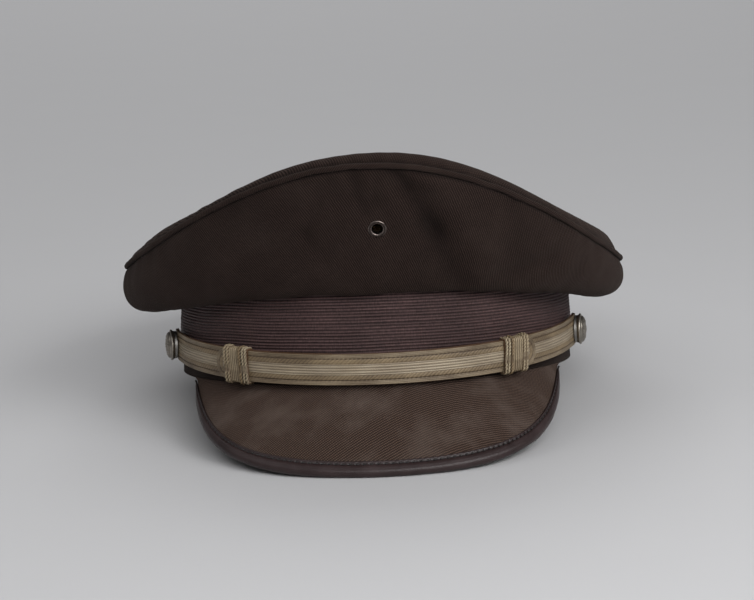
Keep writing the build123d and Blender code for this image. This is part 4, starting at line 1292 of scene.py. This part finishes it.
def pebbles(angle, radius, height):
    """The lift and tone of a button's face: pebbled, with a ring and a boss. The tone is painted
    shade, darkest in the pebbling's hollows and lightest on the raised grains, ring and boss.
    """
    x, y = radius * np.cos(angle), radius * np.sin(angle)
    face = np.clip((BUTTON_RADIUS - 1.35 - radius) / 0.35, 0, 1) * (height > BUTTON_BASE)
    grain = np.abs(np.sin(x * 2.4 + 0.8 * np.sin(y * 1.9)) * np.sin(y * 2.6 + 0.8 * np.sin(x * 1.7)))
    ring = 0.25 * bell(radius - BUTTON_RING, 0.25)
    boss = 0.25 * np.clip((BUTTON_BOSS - radius) / 0.3, 0, 1)
    lift = face * (0.34 * grain + ring + boss)
    on_face = (height > BUTTON_BASE + 0.5) & (radius < BUTTON_RADIUS - 1.2)
    # Painted shade on the face: darkest in the hollows, lightest on the raised grains, ring and boss.
    return lift, np.where(on_face, np.clip(0.25 + lift / 0.3, 0, 1), 1)


def make_buttons():
    """Domed shells with a pebbled face inside a plain rim, crimped round their back plates."""
    base, rim = BUTTON_BASE, BUTTON_RADIUS
    profile = []
    for r in np.linspace(ON_AXIS, rim - 1.1, 34):
        profile.append((r, base + 0.55 + (BUTTON_DOME - 0.65) * np.sqrt(1 - (r / rim) ** 2)))
    for a in np.linspace(np.pi * 0.86, -np.pi / 2, 14):
        profile.append((rim - RIM_BEAD + RIM_BEAD * np.cos(a), base + 0.45 + RIM_BEAD * np.sin(a)))
    profile += [(rim - 0.7, base - 0.78), (rim - 0.72, base - 0.1)]
    profile += [(rim - 1.3, base + 0.25), (ON_AXIS, base + 0.4)]
    for side, matrix in BUTTON_FRAMES.items():
        body, shape = f"button_{side}", lathe(Shape(), profile, 120, pebbles)
        nodes = [f"{body}_shell"]
        make_object(f"{body}_dome", shape, "button", nodes, body, matrix, 0.004)


# ---- CAD pieces that keep their shape --------------------------------------------------------

KEPT_NODES = {
    "board": ["band_stiffener", "visor_board"],
    "steel": ["crown_ring_wire", "crown_ring_joiner"],
    "washer": ["badge_eyelet_washer"],
    "strap_leather": ["strap_front_leather"],
}
for side in SIDES:
    KEPT_NODES["steel"] += [f"button_{side}_{part}" for part in ("back", "collar", "washer")]
    KEPT_NODES["strap_leather"] += [f"strap_{side}_leather", f"slide_{side}_core"]


def finish_kept_nodes():
    """Gives the CAD pieces that stay their materials."""
    for key, nodes in KEPT_NODES.items():
        for node in nodes:
            for material_slot in frame["nodes"][node].material_slots:
                material_slot.material = MATERIALS[key]


# ---- Stage -----------------------------------------------------------------------------------

VIEW_DISTANCE = 1250.0
VIEW_ELEVATION = 4.45  # above the head opening's level
VIEW_TURN = 0.2
VIEW_ROLL = 2.3
AIM = (1.1, 0.0, 28.8)
SENSOR = 36.0
MM_PER_PIXEL = 0.4755
FRAME_WIDTH = 754
FLOOR_SIZE = 16.0


def make_camera():
    """The camera at the photograph's angle, set from the head opening's tilt."""
    aim = STAND @ (Vector(AIM) / 1000)
    up = (STAND.to_3x3() @ Vector(UPWARDS)).normalized()
    elevation = np.arctan2(up.y, up.z) + np.radians(VIEW_ELEVATION)
    turn = np.radians(VIEW_TURN)
    back = Vector((np.sin(turn) * np.cos(elevation), -np.cos(turn) * np.cos(elevation), np.sin(elevation)))
    data = bpy.data.cameras.new("camera")
    data.sensor_width = SENSOR
    data.lens = VIEW_DISTANCE / MM_PER_PIXEL / FRAME_WIDTH * SENSOR
    camera = bpy.data.objects.new("camera", data)
    bpy.context.scene.collection.objects.link(camera)
    camera.location = aim + back * VIEW_DISTANCE / 1000
    look = (-back).to_track_quat("-Z", "Y").to_matrix().to_4x4()
    camera.rotation_euler = (look @ Matrix.Rotation(-np.radians(VIEW_ROLL), 4, "Z")).to_euler()
    bpy.context.scene.camera = camera


def area_light(name, position, target, size, power):
    """A rectangular light, in metres and watts, that faces a target."""
    data = bpy.data.lights.new(name, "AREA")
    data.shape = "RECTANGLE"
    data.size, data.size_y = size
    data.energy = power
    light = bpy.data.objects.new(name, data)
    bpy.context.scene.collection.objects.link(light)
    light.location = position
    light.rotation_euler = (Vector(target) - Vector(position)).to_track_quat("-Z", "Y").to_euler()


def make_stage():
    """A wide pale floor, one soft light over the floor behind the cap and three low ones from the
    front right, the front and the left, and an even grey surround."""
    count = 17
    line = np.linspace(-FLOOR_SIZE, FLOOR_SIZE, count)
    x, y = np.meshgrid(line, line, indexing="ij")
    mesh = bpy.data.meshes.new("floor")
    mesh.from_pydata(flat(x, y).reshape(-1, 3).tolist(), [], grid_faces(count, count))
    mesh.materials.append(MATERIALS["floor"])
    floor = bpy.data.objects.new("floor", mesh)
    bpy.context.scene.collection.objects.link(floor)

    area_light("overhead", (-0.1, 2.4, 2.3), (-0.1, 2.1, 0), (2.8, 2.8), 36)
    area_light("key", (1.2, -1.1, 0.95), (0, -0.25, 0.02), (1.2, 0.9), 11)
    area_light("front", (0.35, -1.1, 0.75), (0, -0.45, 0), (1.2, 0.6), 10.5)
    area_light("left_fill", (-1.0, -0.5, 1.15), (-0.2, -0.25, 0), (1.0, 0.9), 2.6)
    world = bpy.data.worlds.new("surround")
    world.use_nodes = True
    world.node_tree.nodes["Background"].inputs["Color"].default_value = (0.40, 0.40, 0.405, 1)
    world.node_tree.nodes["Background"].inputs["Strength"].default_value = 0.51
    bpy.context.scene.world = world
    bpy.context.scene.view_settings.view_transform = "Standard"


# ---- Putting it together ---------------------------------------------------------------------

make_camera()
make_stage()
finish_kept_nodes()
make_crown_panels()
make_front_stiffening()
make_crown_top()
make_piping()
make_eyelet()
make_braid()
make_band_cloth()
make_sweatband()
make_sweatband_tape()
make_reed()
make_side_lining()
make_top_lining()
make_sweat_shield()
make_visor_sheets()
make_binding()
make_straps()
make_slides()
make_buttons()
